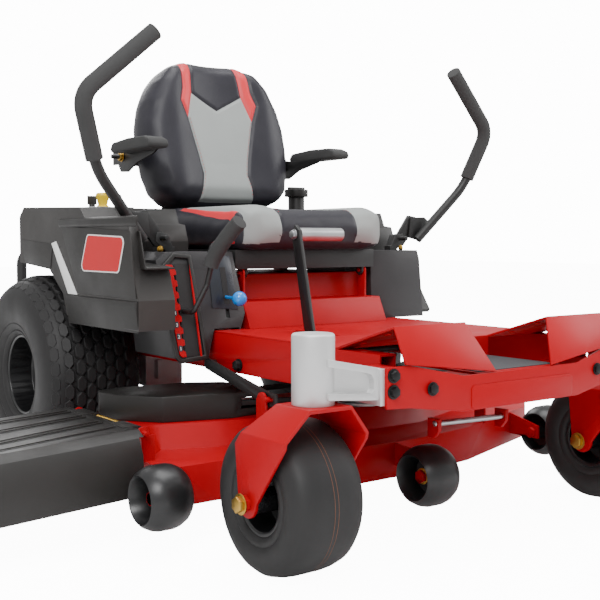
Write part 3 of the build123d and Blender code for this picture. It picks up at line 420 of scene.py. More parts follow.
def softened_copy(node, width, segments=2):
    """A copy of a node's mesh with flat faces joined up and its edges eased."""
    source = frame["nodes"][node]
    piece = bpy.data.objects.new(node + "_eased", source.data.copy())
    bpy.context.scene.collection.objects.link(piece)
    pick(piece)
    bpy.ops.object.mode_set(mode="EDIT")
    bpy.ops.mesh.select_all(action="SELECT")
    bpy.ops.mesh.remove_doubles(threshold=0.00002)
    bpy.ops.mesh.dissolve_limited(angle_limit=math.radians(1.5))
    bpy.ops.object.mode_set(mode="OBJECT")
    eased(piece, width, segments)
    return piece


def bolt(place, direction, across, height, washer=None, name="bolt"):
    """A flanged hex head standing on place, in millimetres, with eased corners."""
    parts = []
    aim = Vector(direction).normalized()
    turn = aim.to_track_quat("Z", "Y").to_euler()
    for radius, base, tall, sides in ((across * 0.577, 0, height, 6), ((washer or across * 0.68), 0, 2.2, 32)):
        bpy.ops.mesh.primitive_cylinder_add(vertices=sides, radius=radius * MM, depth=tall * MM,
                                            location=at(*place) + aim * ((base + tall / 2) * MM), rotation=turn)
        piece = bpy.context.object
        settle(piece)
        eased(piece, 0.9 if sides == 6 else 0.5, 2, 25)
        parts.append(piece)
    return join(parts)


# ---- frame and sheet metal ----
def sheet_metal(paint):
    """The frame's pieces keep their CAD shape, with folded edges eased."""
    finishes = [
        ("frame_rails", 2.0, "red"), ("nose_frame", 2.0, "red"), ("foot_platform", 1.6, "red"),
        ("floor_pan", 1.4, "red"), ("seat_riser", 1.6, "red"), ("deck_shell", 1.8, "red"),
        ("rear_frame", 2.0, "black_coat"), ("control_brackets", 1.2, "black_coat"),
        ("transaxles", 3.0, "cast"), ("engine", 1.6, "cast"), ("engine_shroud", 6.0, "black_plastic"),
        ("muffler", 3.0, "exhaust"), ("fuel_tank", 4.0, "black_plastic"), ("battery", 3.0, "black_plastic"),
        ("frame_bolts", 0.8, "black_bolt"), ("spindle_housings", 2.0, "cast"), ("blade_belt", 1.0, "belt"),
        ("pulley_covers", 3.0, "black_plastic"), ("consoles", 2.0, "grey_plastic"),
        ("pod_left", 2.0, "black_plastic"),
        ("seat_plate", 1.5, "black_coat"), ("chute_deflector", 2.0, "black_plastic"),
        ("lift_shaft", 1.2, "black_coat"), ("height_lever", 1.0, "black_coat"),
        ("fuel_cap", 2.0, "black_plastic"), ("ignition_key", 1.0, "black_plastic"),
        ("throttle_lever", 1.0, "black_plastic"), ("speed_lever", 0.6, "blue"), ("lift_pedal", 1.2, "black_coat"),
    ]
    for side in SIDES:
        finishes += [("caster_arm_" + side, 1.2, "cast"), ("caster_fork_" + side, 1.6, "red"),
                     ("caster_rim_" + side, 1.2, "black_enamel"), ("rear_rim_" + side, 1.6, "black_enamel"),
                     ("lever_post_" + side, 1.4, "black_coat")]
    for place in ("right", "centre", "left"):
        finishes.append(("spindle_" + place, 0.8, "blade"))
    for node, width, name in finishes:
        piece = softened_copy(node, width)
        body = frame["nodes"][node]["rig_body"]
        finish(piece, node + "_finished", paint[name], body, [node])


def carved_pod(paint):
    """The right pod with its front corner stepped down beside the console, where the drive lever stands."""
    source = frame["nodes"]["pod_right"]
    piece = bpy.data.objects.new("pod_right_carved", source.data.copy())
    bpy.context.scene.collection.objects.link(piece)
    pick(piece)
    bpy.ops.object.mode_set(mode="EDIT")
    bpy.ops.mesh.select_all(action="SELECT")
    bpy.ops.mesh.remove_doubles(threshold=0.00002)
    bpy.ops.object.mode_set(mode="OBJECT")
    cutter = slab_x([(-610, 540), (-610, 720), (-364, 720), (-364, 554), (-580, 540)], -498, -428)
    modify(piece, "BOOLEAN", operation="DIFFERENCE", object=cutter, solver="EXACT")
    bpy.data.objects.remove(cutter)
    pick(piece)
    bpy.ops.object.mode_set(mode="EDIT")
    bpy.ops.mesh.select_all(action="SELECT")
    bpy.ops.mesh.dissolve_limited(angle_limit=math.radians(1.5))
    bpy.ops.object.mode_set(mode="OBJECT")
    smooth(piece, 30)
    finish(piece, "pod_right_finished", paint["black_plastic"], "chassis", ["pod_right"])
    shelf = slab_x([(-588, 536), (-588, 540), (-580, 541), (-366, 555), (-366, 640), (-362, 640), (-362, 550)], -499, -431)
    eased(shelf, 1.2)
    wall = slab_x([(-586, 536), (-560, 618), (-362, 630), (-362, 550)], -501, -498)
    eased(wall, 1.0)
    finish(join([shelf, wall]), "pod_step_right", paint["black_plastic"], "chassis")


# ---- tyres ----
def tread_block(length, width, height):
    """One six-sided tread block, standing on the origin, its top narrower than its foot."""
    bpy.ops.mesh.primitive_cylinder_add(vertices=6, radius=1, depth=1, location=(0, 0, height * MM / 2))
    piece = bpy.context.object
    piece.scale = (width / 2 * MM, length / 2 * MM, height * MM)
    settle(piece)
    for vertex in piece.data.vertices:
        if vertex.co.z > 0.001:
            vertex.co.x *= 0.84
            vertex.co.y *= 0.84
    eased(piece, 1.2, 1, 30)
    return piece


def rear_tyre_piece(side, paint):
    """A turf tyre: round shoulders, plain side walls and close rows of six-sided blocks."""
    low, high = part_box("rear_tyre_" + side)
    middle = spot("rear_tyre_" + side)
    radius, half = (high.z - low.z) / MM / 2, (high.x - low.x) / MM / 2
    rim = 101.6
    tread = radius - 8
    edge = [(rim, half - 24), (rim + 6, half - 16), (rim + 12, half - 14), (rim + 14, half - 16), (rim + 18, half - 11),
            (rim + 30, half - 6), (rim + 33, half - 7), (rim + 36, half - 4), (radius - 86, half - 0.8),
            (radius - 66, half), (radius - 48, half - 3), (radius - 34, half - 10), (radius - 22, half - 21),
            (radius - 14, half - 34), (tread - 3, half - 50), (tread - 0.8, half - 74), (tread, 30)]
    profile = [(r, -a) for r, a in edge] + [(r, a) for r, a in reversed(edge)]
    carcass = lathe(profile, tuple(middle), "X", 96)
    smooth(carcass, 40)
    lug = tread_block(49, 29.5, 10)
    pieces = [carcass]
    rows, count, pitch = 9, 40, 25.5
    for row in range(rows):
        across = (row - rows // 2) * pitch
        drop = 2.0 + 30.0 * max(0.0, (abs(across) - 44) / 68) ** 2.1
        lean = math.radians(46) * max(0.0, (abs(across) - 44) / 68) ** 1.1 * (1 if across > 0 else -1)
        for step in range(count):
            angle = math.tau * (step + 0.5 * (row % 2)) / count
            mesh = lug.data.copy()
            place = Matrix.Translation(at(*middle)) @ Matrix.Rotation(angle, 4, "X")
            place = place @ Matrix.Translation((across * MM, 0, (tread - drop) * MM))
            mesh.transform(place @ Matrix.Rotation(lean, 4, "Y"))
            block_piece = bpy.data.objects.new("lug", mesh)
            bpy.context.scene.collection.objects.link(block_piece)
            pieces.append(block_piece)
    bpy.data.objects.remove(lug)
    tyre = join(pieces)
    body = "rear_wheel_" + side
    finish(tyre, "rear_tyre_" + side + "_tread", paint["rubber"], body, ["rear_tyre_" + side])
    sign = SIDES[side]
    nuts = []
    for step in range(5):
        angle = math.tau * step / 5
        nuts.append(bolt((sign * (abs(middle[0]) + 26), 44 * math.sin(angle), middle[2] + 44 * math.cos(angle)),
                         (sign, 0, 0), 21, 16))
    finish(join(nuts), "lug_nuts_" + side, paint["black_bolt"], body)


def caster_tyre_piece(side, paint):
    low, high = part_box("caster_tyre_" + side)
    middle = spot("caster_tyre_" + side)
    radius, half = 139.7, (high.x - low.x) / MM / 2
    rim = 63.5
    profile = [(rim, -half + 10), (rim + 5, -half + 5), (rim + 14, -half + 3), (rim + 18, -half + 5),
               (rim + 22, -half + 2), (radius - 40, -half), (radius - 26, -half + 1.5), (radius - 14, -half + 8),
               (radius - 6, -half + 18), (radius - 1.5, -half + 36), (radius, -24), (radius, 24),
               (radius - 1.5, half - 36), (radius - 6, half - 18), (radius - 14, half - 8), (radius - 26, half - 1.5),
               (radius - 40, half), (rim + 22, half - 2), (rim + 18, half - 5), (rim + 14, half - 3),
               (rim + 5, half - 5), (rim, half - 10)]
    tyre = lathe(profile, tuple(middle), "X", 128)
    smooth(tyre, 50)
    body = "caster_wheel_" + side
    finish(tyre, "caster_tyre_" + side + "_smooth", paint["rubber"], body, ["caster_tyre_" + side])
    for name, across, material in (("left", -5, "tyre_line"), ("right", 3, "tyre_line")):
        ring = lathe([(radius - 0.6, across), (radius + 0.12, across), (radius + 0.12, across + 0.9),
                      (radius - 0.6, across + 0.9)], tuple(middle), "X", 128)
        smooth(ring, 60)
        finish(ring, "tread_line_%s_%s" % (name, side), paint[material], body)
    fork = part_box("caster_fork_" + side)
    heads = []
    for x, away in (((fork[0].x - MID_X) / MM, -1), ((fork[1].x - MID_X) / MM, 1)):
        heads.append(bolt((x, middle[1], middle[2]), (away, 0, 0), 26, 11, 19))
    finish(join(heads), "caster_axle_bolt_" + side, paint["yellow_zinc"], "caster_" + side)


# ---- seat ----
def stuffed(name, outline, depth, frames=12, cap=0.008, voxel=0.007, pressure=4.0):
    """A pad cut to a flat outline in metres, swollen by cloth under pressure; it stands from z = 0 to depth."""
    piece = outline_face([(x, y, 0) for x, y in outline], name)
    bpy.ops.object.mode_set(mode="EDIT")
    bpy.ops.mesh.select_all(action="SELECT")
    bpy.ops.mesh.extrude_region_move(TRANSFORM_OT_translate={"value": (0, 0, depth)})
    bpy.ops.object.mode_set(mode="OBJECT")
    outward(piece)
    modify(piece, "BEVEL", width=0.016, segments=3, limit_method="ANGLE", angle_limit=math.radians(40))
    modify(piece, "REMESH", mode="VOXEL", voxel_size=voxel)
    rest = [v.co.copy() for v in piece.data.vertices]
    cloth = piece.modifiers.new("cloth", "CLOTH")
    cloth.settings.use_pressure = True
    cloth.settings.uniform_pressure_force = pressure
    cloth.settings.effector_weights.gravity = 0
    cloth.settings.quality = 4
    cloth.collision_settings.use_collision = False
    cloth.point_cache.frame_start, cloth.point_cache.frame_end = 1, frames
    for step in range(1, frames + 1):
        bpy.context.scene.frame_set(step)
    pick(piece)
    bpy.ops.object.modifier_apply(modifier=cloth.name)
    bpy.context.scene.frame_set(1)
    for vertex, start in zip(piece.data.vertices, rest):
        move = vertex.co - start
        if move.length > cap:
            vertex.co = start + move.normalized() * cap
    modify(piece, "SMOOTH", factor=0.5, iterations=14)
    modify(piece, "SUBSURF", levels=1, render_levels=1)
    return piece


def seam_distance(x, y, lines):
    """Distance from a point to the nearest of several straight seams."""
    best = 1e9
    for (ax, ay), (bx, by) in lines:
        dx, dy = bx - ax, by - ay
        share = max(0.0, min(1.0, ((x - ax) * dx + (y - ay) * dy) / (dx * dx + dy * dy)))
        best = min(best, math.hypot(x - ax - share * dx, y - ay - share * dy))
    return best


def inside(x, y, outline):
    """Whether a point lies inside a flat outline."""
    result = False
    for (ax, ay), (bx, by) in zip(outline, outline[1:] + outline[:1]):
        if (ay > y) != (by > y) and x < (bx - ax) * (y - ay) / (by - ay) + ax:
            result = not result
    return result


def cut_along(piece, lines):
    """Cuts the mesh on upright planes through each flat line, so panels can meet there cleanly."""
    pick(piece)
    bpy.ops.object.mode_set(mode="EDIT")
    for (ax, ay), (bx, by) in lines:
        bpy.ops.mesh.select_all(action="SELECT")
        normal = Vector((by - ay, ax - bx, 0)).normalized()
        bpy.ops.mesh.bisect(plane_co=(ax, ay, 0), plane_no=tuple(normal))
    bpy.ops.object.mode_set(mode="OBJECT")


def closed_lines(outline):
    return list(zip(outline, outline[1:] + outline[:1]))


def stitches(name, routes, height_of, material, body, length=0.0055, gap=0.0035, lift=0.0006):
    """Short thread stitches along flat routes, laid on the surface that height_of gives."""
    bpy.ops.mesh.primitive_uv_sphere_add(segments=6, ring_count=4, radius=0.5)
    seed = bpy.context.object
    seed.scale = (length, 0.0012, 0.0010)
    settle(seed)
    made = []
    for start, end in routes:
        a, b = Vector(start), Vector(end)
        count = int((b - a).length / (length + gap))
        turn = math.atan2(b.y - a.y, b.x - a.x)
        for step in range(count):
            p = a.lerp(b, (step + 0.5) / count)
            z = height_of(p.x, p.y)
            if z is None:
                continue
            mesh = seed.data.copy()
            mesh.transform(Matrix.Translation((p.x, p.y, z + lift)) @ Matrix.Rotation(turn, 4, "Z"))
            one = bpy.data.objects.new("stitch", mesh)
            bpy.context.scene.collection.objects.link(one)
            made.append(one)
    bpy.data.objects.remove(seed)
    return join(made) if made else None


def top_height(piece):
    """A function giving the height of the piece's upper surface over a flat place."""
    tree = piece.evaluated_get(bpy.context.evaluated_depsgraph_get())

    def height(x, y):
        hit, place, _, _ = tree.ray_cast(Vector((x, y, 1)), Vector((0, 0, -1)))
        return place.z if hit else None
    return height


def groove(piece, lines, depth, width, above):
    """Presses the seams into the upper side of a pad."""
    for vertex in piece.data.vertices:
        if vertex.co.z > above:
            near = seam_distance(vertex.co.x, vertex.co.y, lines)
            if near < width * 3:
                vertex.co.z -= depth * math.exp(-(near / width) ** 2)


def panels(piece, areas, above, least=0.15):
    """Gives faces above a height, and turned up by at least so much, the material of the area they lie in."""
    for face in piece.data.polygons:
        centre = face.center
        face.material_index = 0
        if face.normal.z > least and centre.z > above:
            for index, area in areas:
                if inside(centre.x, centre.y, area):
                    face.material_index = index
                    break


def rounded(points, radii, steps=6):
    """The outline with each corner turned into an arc of its radius."""
    made = []
    count = len(points)
    for index, radius in enumerate(radii):
        here = Vector(points[index])
        to_before = (Vector(points[index - 1]) - here).normalized()
        to_after = (Vector(points[(index + 1) % count]) - here).normalized()
        half = math.acos(max(-1.0, min(1.0, to_before.dot(to_after)))) / 2
        centre = here + (to_before + to_after).normalized() * (radius / math.sin(half))
        start = here + to_before * (radius / math.tan(half)) - centre
        end = here + to_after * (radius / math.tan(half)) - centre
        for step in range(steps + 1):
            arm = start.lerp(end, step / steps).normalized() * radius
            made.append(tuple(centre + arm))
    return made


def both_sides(points):
    """A flat outline and its mirror image."""
    return [points, [(-x, y) for x, y in points]]


def seat_back_piece(paint):
    """The back rest: black bolsters and head, a grey middle notched at the top, two red strips."""
    lean = math.radians(13)
    half = [(0.168, 0.040), (0.204, 0.075), (0.222, 0.130), (0.230, 0.200), (0.228, 0.262), (0.214, 0.322),
            (0.182, 0.382), (0.140, 0.426), (0.084, 0.450)]
    outline = [(-x, y) for x, y in half] + [(x, y) for x, y in reversed(half)]
    piece = stuffed("seat_back_pad", outline, 0.114, cap=0.007)
    for vertex in piece.data.vertices:
        x, y, z = vertex.co
        front = max(0.0, min(1.0, (z - 0.05) / 0.05))
        roll = math.exp(-((abs(x) - 0.150) / 0.050) ** 2)
        vertex.co.z += front * (0.014 * roll - 0.012 * math.exp(-(x / 0.085) ** 2) * min(1.0, y / 0.15))
    grey = [(0, 0.305), (0.081, 0.348), (0.104, 0.275), (0.080, 0.170), (0.071, 0.118), (0.088, 0.045),
            (-0.088, 0.045), (-0.071, 0.118), (-0.080, 0.170), (-0.104, 0.275), (-0.081, 0.348)]
    reds = both_sides([(0.070, 0.480), (0.102, 0.480), (0.110, 0.360), (0.122, 0.322), (0.104, 0.275), (0.081, 0.348)])
    lines = closed_lines(grey) + [line for red in reds for line in closed_lines(red)[1:4] + closed_lines(red)[5:]]
    cut_along(piece, lines)
    groove(piece, lines, 0.0045, 0.0042, 0.06)
    height = top_height(piece)
    sewn = [line for side in both_sides([(0.100, 0.275), (0.076, 0.170), (0.067, 0.118), (0.083, 0.060)])
            for line in zip(side, side[1:])]
    thread = stitches("thread", sewn, height, None, None)
    for material in ("vinyl_black", "vinyl_grey", "vinyl_red"):
        piece.data.materials.append(paint[material])
    panels(piece, [(2, reds[0]), (2, reds[1]), (1, grey)], 0.05, -0.1)
    place = Matrix.Translation(at(0, -34, 640)) @ Matrix.Rotation(math.radians(90) - lean, 4, "X")
    for one in (piece, thread):
        one.data.transform(place)
        one.data.update()
    smooth(piece, 80)
    finish(piece, "seat_back_cover", None, "seat", ["seat_back"])
    smooth(thread, 80)
    finish(thread, "seat_back_stitching", paint["thread"], "seat")





def seat_cushion_piece(paint):
    """The seat cushion: black middle, light grey corners, red strips, black sides, all running over the front."""
    x0, y0, y1 = 0.230, -0.546, -0.074
    outline = rounded([(x0, y0), (x0, y1), (-x0, y1), (-x0, y0)], (0.060, 0.10, 0.10, 0.060))
    piece = stuffed("seat_cushion_pad", outline, 0.086, cap=0.007)
    for vertex in piece.data.vertices:
        x, y, z = vertex.co
        top = max(0.0, min(1.0, (z - 0.02) / 0.05))
        roll = math.exp(-((abs(x) - 0.165) / 0.045) ** 2)
        vertex.co.z += top * (0.009 * roll - 0.006 * math.exp(-(x / 0.09) ** 2) * math.exp(-((y + 0.24) / 0.14) ** 2))
    greys = both_sides([(0.116, -0.60), (0.116, -0.20), (0.180, -0.20), (0.202, -0.36), (0.214, -0.60)])
    reds = both_sides([(0.209, -0.50), (0.202, -0.36), (0.180, -0.20), (0.194, -0.20), (0.217, -0.36), (0.226, -0.50)])
    lines = [line for grey in greys for line in closed_lines(grey)[:4]] + [
        line for red in reds for line in closed_lines(red)[2:5]]
    cut_along(piece, lines)
    groove(piece, lines, 0.004, 0.004, 0.03)
    height = top_height(piece)
    routes = [((s * 0.112, -0.53), (s * 0.112, -0.10)) for s in (-1, 1)]
    thread = stitches("thread", routes, height, None, None)
    for material in ("vinyl_black", "vinyl_grey", "vinyl_red"):
        piece.data.materials.append(paint[material])
    panels(piece, [(2, reds[0]), (2, reds[1]), (1, greys[0]), (1, greys[1])], 0.006, -0.6)
    place = Matrix.Translation(at(0, 0, 582))
    for one in (piece, thread):
        one.data.transform(place)
        one.data.update()
    smooth(piece, 80)
    finish(piece, "seat_cushion_cover", None, "seat", ["seat_cushion"])
    finish(thread, "seat_cushion_stitching", paint["thread"], "seat")


def armrest_piece(side, paint):
    sign = SIDES[side]
    z = 823
    pad = slab_x([(-262, z + 7), (-54, z + 6), (-50, z + 18), (-62, z + 32), (-150, z + 38), (-236, z + 37),
                  (-262, z + 28), (-268, z + 16)], sign * 263, sign * 320)
    eased(pad, 10, 4, 25)
    finish(pad, "armrest_pad_" + side, paint["foam"], "armrest_" + side, ["armrest_" + side])
    plate = slab_x([(-215, z + 10), (-190, z - 2), (-100, z - 20), (-48, z - 42), (-8, z - 40), (12, z - 14), (14, z + 6),
                    (0, z + 18), (-30, z + 14), (-60, z + 10)], sign * 262.3, sign * 268.3)
    eased(plate, 1.4)
    finish(plate, "armrest_bracket_" + side, paint["black_coat"], "armrest_" + side)
    nut = bolt((sign * 270, -20, z), (sign, 0, 0), 20, 9)
    finish(nut, "armrest_pivot_nut_" + side, paint["yellow_zinc"], "armrest_" + side)


# ---- drive levers ----
def eased_route(corners, reach):
    """Control points that start each bend about half of reach before its corner."""
    route = [Vector(corners[0])]
    for before, corner, after in zip(corners, corners[1:], corners[2:]):
        here = Vector(corner)
        route += [here + (Vector(before) - here).normalized() * reach, here,
                  here + (Vector(after) - here).normalized() * reach]
    return [tuple(p) for p in route + [Vector(corners[-1])]]


def drive_lever(side, paint):
    """The bent bar and its foam grip, bolted to a flat arm."""
    sign = SIDES[side]
    body = "lever_" + side
    corners = [(sign * x, y, z) for x, y, z in ((427, -434, 601), (560, -480, 750), (614, -518, 904), (457, -545, 1046))]
    tube = pipe(eased_route(corners, 78), 12.5, resolution=14)
    smooth(tube, 60)
    finish(tube, "lever_bar_" + side, paint["black_coat"], body, ["lever_tube_" + side])
    start = Vector(corners[1]).lerp(Vector(corners[2]), 0.15)
    tip = Vector(corners[3]) + (Vector(corners[3]) - Vector(corners[2])).normalized() * 7
    grip = pipe(eased_route([tuple(start), corners[2], tuple(tip)], 78), 19, resolution=16, sides=10)
    eased(grip, 6, 4, 50)
    smooth(grip, 60)
    finish(grip, "lever_grip_foam_" + side, paint["foam"], body, ["lever_grip_" + side])
    arm = slab_y([(sign * x, z) for x, z in ((352, 594), (358, 584), (388, 584), (440, 648), (434, 664), (408, 668))],
                 -421.5, -410.5)
    eased(arm, 1.4)
    finish(arm, "lever_mount_plate_" + side, paint["black_coat"], body)
    link = slab_y([(sign * x, z) for x, z in ((402, 606), (410, 662), (462, 664), (480, 652), (440, 598))],
                  -427, -421.5)
    eased(link, 1.4)
    finish(link, "lever_link_plate_" + side, paint["black_coat"], body)
    for x, z in ((376, 578), (418, 646)):
        nut = bolt((sign * x, -421.5, z), (0, -1, 0), 11, 5, 8)
        finish(nut, "lever_bolt_%s_%d" % (side, x), paint["yellow_zinc"], body)


# ---- rollers, pedal ----
def anti_scalp_roller(name, paint):
    """A moulded roller, open on one side where its bolt head sits, turning beside its bracket."""
    low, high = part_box("roller_" + name)
    middle = spot("roller_" + name)
    open_side = {"right": 1, "centre": 1, "left": -1}[name]
    x = (low.x - MID_X) / MM + 46 if open_side > 0 and name == "-" else middle[0]
    reach = (high.x - low.x) / MM / 2
    profile = [(9, -14), (17, -14), (19, 6), (38, 2), (44, -43), (47, -46), (54, -39), (61, -25), (63.5, -14), (63.5, 14),
               (61, 25), (54, 39), (47, 46), (44, 43), (40, 16), (19, 12), (17, 46), (9, 46)]
    piece = lathe([(r, a * open_side) for r, a in profile], (x, middle[1], middle[2]), "X", 72)
    smooth(piece, 40)
    finish(piece, "roller_%s_moulding" % name, paint["nylon"], "roller_" + name, ["roller_" + name])
    head = bolt((x - open_side * 14.3, middle[1], middle[2]), (-open_side, 0, 0), 24, 10, 17)
    finish(head, "roller_bolt_%s" % name, paint["yellow_zinc"], "deck")


def pedal_roller(paint):
    piece = lathe([(6.5, -0.5), (13, -0.5), (15.4, 2), (15.4, 123), (13, 125.5), (6.5, 125.5)], (-145, -650, 612), "X", 48)
    smooth(piece, 35)
    finish(piece, "pedal_tread_roller", paint["roller"], "pedal")
    nut = bolt((-156, -650, 612), (-1, 0, 0), 17, 8)
    finish(nut, "pedal_roller_bolt", paint["zinc"], "pedal")


# ---- decals and small trim ----
def ring_slab(points, rim, push):
    """A flat frame, rim millimetres wide inside the outline, pushed out into a solid."""
    piece = outline_face(points)
    bpy.ops.object.mode_set(mode="EDIT")
    bpy.ops.mesh.select_all(action="SELECT")
    bpy.ops.mesh.inset(thickness=rim * MM, depth=0)
    bpy.ops.mesh.delete(type="FACE")
    bpy.ops.mesh.select_all(action="SELECT")
    bpy.ops.mesh.extrude_region_move(TRANSFORM_OT_translate={"value": tuple(push)})
    bpy.ops.object.mode_set(mode="OBJECT")
    outward(piece)
    return piece


def on_console(x, z, out=0.0):
    """A point on the sloping front of a console, or out millimetres before it."""
    return at(x, -566 + 0.24 * (z - 300) - out, z)


def gate_trim(paint):
    """The raised housing round the height gate, its seven numbers and the speed lever's panel."""
    outer = [(-434, 532), (-390, 570), (-344, 566), (-330, 332), (-404, 326), (-416, 340)]
    rim = ring_slab([on_console(x, z, -2) for x, z in outer], 10, (0, -9 * MM, 0))
    eased(rim, 2, 3)
    finish(rim, "gate_housing", paint["black_plastic"], "chassis")
    steps = [(-405, 345), (-423, 530), (-412, 544), (-397, 544)]
    for step in range(6, -1, -1):
        z = 360 + 26 * step
        steps += [(-389, z + 13), (-389, z + 6), (-396, z + 4), (-396, z - 4), (-389, z - 9)]
    steps += [(-389, 340), (-400, 340)]
    plate = slab([on_console(x, z, 5) for x, z in steps], (0, -3 * MM, 0))
    eased(plate, 0.6, 1)
    finish(plate, "height_gate_steps", paint["red"], "chassis", ["height_gate"])
    edge = slab([on_console(x, z, 3.5) for x, z in ((-352, 338), (-352, 546), (-348, 546), (-348, 338))], (0, -3 * MM, 0))
    finish(edge, "height_gate_edge", paint["red"], "chassis")
    # Painted shade: the gate's open slot is drawn as a thin dark rubber sheet on the console face.
    gate_opening_shade = slab([on_console(x, z, 0.4) for x, z in ((-388, 340), (-388, 546), (-352, 546), (-352, 340))], (0, -0.5 * MM, 0))
    finish(gate_opening_shade, "height_gate_painted_shade", paint["rubber"], "chassis")
    for step in range(7):
        across = -401.5 - 1.2 * step
        tag = slab([on_console(across + x, 360 + 26 * step + z, 8) for x, z in
                    ((-5, -4), (-5, 3), (-3, 6), (3, 6), (5, 3), (5, -4), (3, -7), (-3, -7))], (0, -0.5 * MM, 0))
        finish(tag, "gate_tag_%d" % (step + 1), paint["dark_label"], "chassis")
        bpy.ops.object.text_add(location=on_console(across, 355.4 + 26 * step, 8.7), rotation=(math.radians(76.5), 0, 0))
        number = bpy.context.object
        number.data.body = str(step + 1)
        number.data.size, number.data.extrude = 0.011, 0.0004
        number.data.align_x = "CENTER"
        bpy.ops.object.convert(target="MESH")
        settle(bpy.context.object)
        outward(bpy.context.object)
        finish(bpy.context.object, "gate_number_%d" % (step + 1), paint["white_label"], "chassis")
    panel = slab([on_console(x, z, 0.2) for x, z in ((-298, 562), (-238, 562), (-232, 438), (-302, 444))],
                 (0, -1.4 * MM, 0))
    eased(panel, 0.5)
    finish(panel, "speed_panel", paint["dark_label"], "chassis")
    # Painted shade: the speed lever's open slot is drawn as a thin dark rubber strip on the panel.
    slot_opening_shade = slab([on_console(x, z, 1.5) for x, z in ((-270, 536), (-255, 536), (-254, 452), (-269, 452))],
                (0, -0.8 * MM, 0))
    finish(slot_opening_shade, "speed_slot_painted_shade", paint["rubber"], "chassis")


def pod_trim(paint):
    """Raised panels, ledges, pale stripes and a blank red badge on the pods, and the dash panel."""
    shapes = [
        ("pod_panel_right", "black_plastic", [(-194, 633), (-282, 629), (-555, 620), (-583, 474), (-292, 476)], -519, -522.6),
        ("pod_tail_right", "black_plastic", [(62, 601), (-144, 590), (-128, 530), (38, 541)], -519, -522),
        ("pod_stripe_right", "white_label", [(-164, 596), (-137, 591), (-234, 471), (-284, 471)], -520, -522.2),
        ("pod_stripe_left", "white_label", [(-277, 520), (-304, 506), (-366, 414), (-328, 414)], 519, 521.4),
    ]
    for name, material, outline, x0, x1 in shapes:
        piece = slab_x(outline, x0, x1)
        eased(piece, 1.0 if material == "black_plastic" else 0.5)
        finish(piece, name, paint[material], "chassis")
    for name, material, out, radius, badge in (
            ("border", "white_label", 523.4, 14, [(-346, 613), (-537, 607), (-505, 527), (-306, 527)]),
            ("face", "red_label", 524.2, 12, [(-350, 610), (-531, 604), (-502, 530), (-313, 530)])):
        piece = slab_x(rounded(badge, (radius,) * 4), -519, -out)
        finish(piece, "pod_badge_" + name, paint[material], "chassis")
    for name, low, high, tall in (("sill", -588, -230, [(470, 0), (467, 7), (455, 7), (400, 0)]),
                                  ("belt_line", -588, -186, [(652, 0), (646, 6), (634, 6), (627, 0)])):
        piece = slab_y([(-519 - out, z) for z, out in tall], low, high)
        eased(piece, 1.5)
        finish(piece, "pod_%s_right" % name, paint["black_plastic"], "chassis")
    dash = slab_z([(-440, -196), (-428, -212), (-340, -212), (-328, -200), (-328, -88), (-340, -76), (-428, -76), (-440, -90)],
                  678.5, 681.5)
    eased(dash, 1.2)
    finish(dash, "dash_panel", paint["zinc"], "chassis")
    knob = lathe([(0, 0), (15, 0), (15, 3), (11, 7), (14, 20), (17, 28), (17, 33), (14, 37), (0, 38)],
                 (-400, -172, 680), "Z", 40)
    smooth(knob, 40)
    finish(knob, "pto_knob_moulding", paint["yellow"], "pto_knob", ["pto_knob"])


def deflector_ribs(paint):
    """Pairs of moulded ribs that run out along the deflector's top."""
    made = []
    for near, far in ((-400, -392), (-420, -412), (-478, -500), (-498, -520), (-560, -606), (-580, -626), (-640, -676)):
        line = [(-600, near), (-966, far)]
        top = [220.2 - (-574 - x) * math.tan(math.radians(3)) for x, _ in line]
        corners = [at(x, y + side, z) for side in (-2, 2) for (x, y), z in
                   (zip(line, top) if side < 0 else reversed(list(zip(line, top))))]
        rib = slab(corners, (0, 0, 2.4 * MM))
        eased(rib, 0.9, 2)
        made.append(rib)
    finish(join(made), "deflector_ribs", paint["black_plastic"], "deflector")


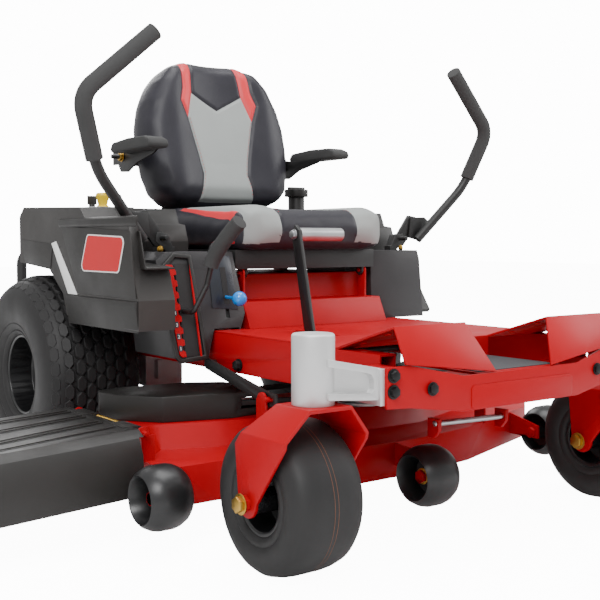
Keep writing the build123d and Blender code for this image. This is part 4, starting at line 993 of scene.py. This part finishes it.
def frame_trim(paint):
    """Grip tape, nose bolts and blank plate, hanger rod, hinge spring and the drive bracket."""
    tape = slab_z([(-110, -1180), (110, -1180), (110, -998), (-110, -998)], 349.2, 350.4)
    finish(tape, "grip_tape_centre", paint["grit"], "chassis")
    for side, sign in SIDES.items():
        corners = [(sign * x, y, 392 + (-986 - y) * 0.309 + 0.4) for x, y in
                   ((166, -1006), (254, -1006), (254, -1100), (240, -1118), (180, -1118), (166, -1100))]
        pad = slab([at(*corner) for corner in corners], (0, 0, 1.2 * MM))
        finish(pad, "grip_tape_" + side, paint["grit"], "chassis")
        head = bolt((sign * 238, -1187, 329), (0, -1, 0), 19, 7, 13)
        finish(head, "nose_bolt_" + side, paint["black_bolt"], "chassis")
    plate = slab_y([(-146, 322), (-140, 328), (140, 328), (146, 322), (146, 288), (140, 282), (-140, 282), (-146, 288)],
                   -1194.5, -1197.5)
    eased(plate, 1.2)
    finish(plate, "nose_blank_plate", paint["red"], "chassis")
    rod = pipe([(-84, -1034, 226), (128, -1034, 220)], 6, sides=4)
    finish(rod, "deck_hanger_rod", paint["zinc"], "deck")
    for x in (-78, 122):
        lug = slab_x([(-1044, 212), (-1044, 236), (-1012, 236), (-1012, 196), (-1030, 196)], x - 5, x + 5)
        eased(lug, 1.2)
        finish(lug, "deck_hanger_lug_%d" % abs(x), paint["red"], "deck")
    coils = [(5.2, -58)] + [(9.6 if step % 2 else 7.4, -56 + 4 * step) for step in range(29)] + [(5.2, 58)]
    spring = lathe(coils, (-560, -527, 208), "Y", 28)
    smooth(spring, 30)
    finish(spring, "deflector_spring", paint["yellow_zinc"], "deck")
    bracket = slab_x([(-142, 356), (-38, 356), (-38, 246), (-52, 236), (-128, 236), (-142, 250)], -300, -306)
    eased(bracket, 1.4)
    finish(bracket, "drive_bracket_right", paint["black_coat"], "chassis")
    for z in (326, 252):
        head = bolt((-306, -90, z), (-1, 0, 0), 19, 8, 13)
        finish(head, "drive_bracket_bolt_%d" % z, paint["yellow_zinc"], "chassis")


def height_handle(paint):
    grip = pipe([(-344, -592, 540), (-338, -602, 577), (-320, -675, 639)], 17.5, resolution=24, sides=10)
    eased(grip, 5, 4, 50)
    finish(grip, "height_handle_foam", paint["foam"], "height_lever")


aim_camera()
studio()
paint = make_materials()
sheet_metal(paint)
carved_pod(paint)
for side in SIDES:
    rear_tyre_piece(side, paint)
    caster_tyre_piece(side, paint)
    armrest_piece(side, paint)
    drive_lever(side, paint)
for name in ("right", "centre", "left"):
    anti_scalp_roller(name, paint)
seat_back_piece(paint)
seat_cushion_piece(paint)
pedal_roller(paint)
height_handle(paint)
gate_trim(paint)
pod_trim(paint)
deflector_ribs(paint)
frame_trim(paint)
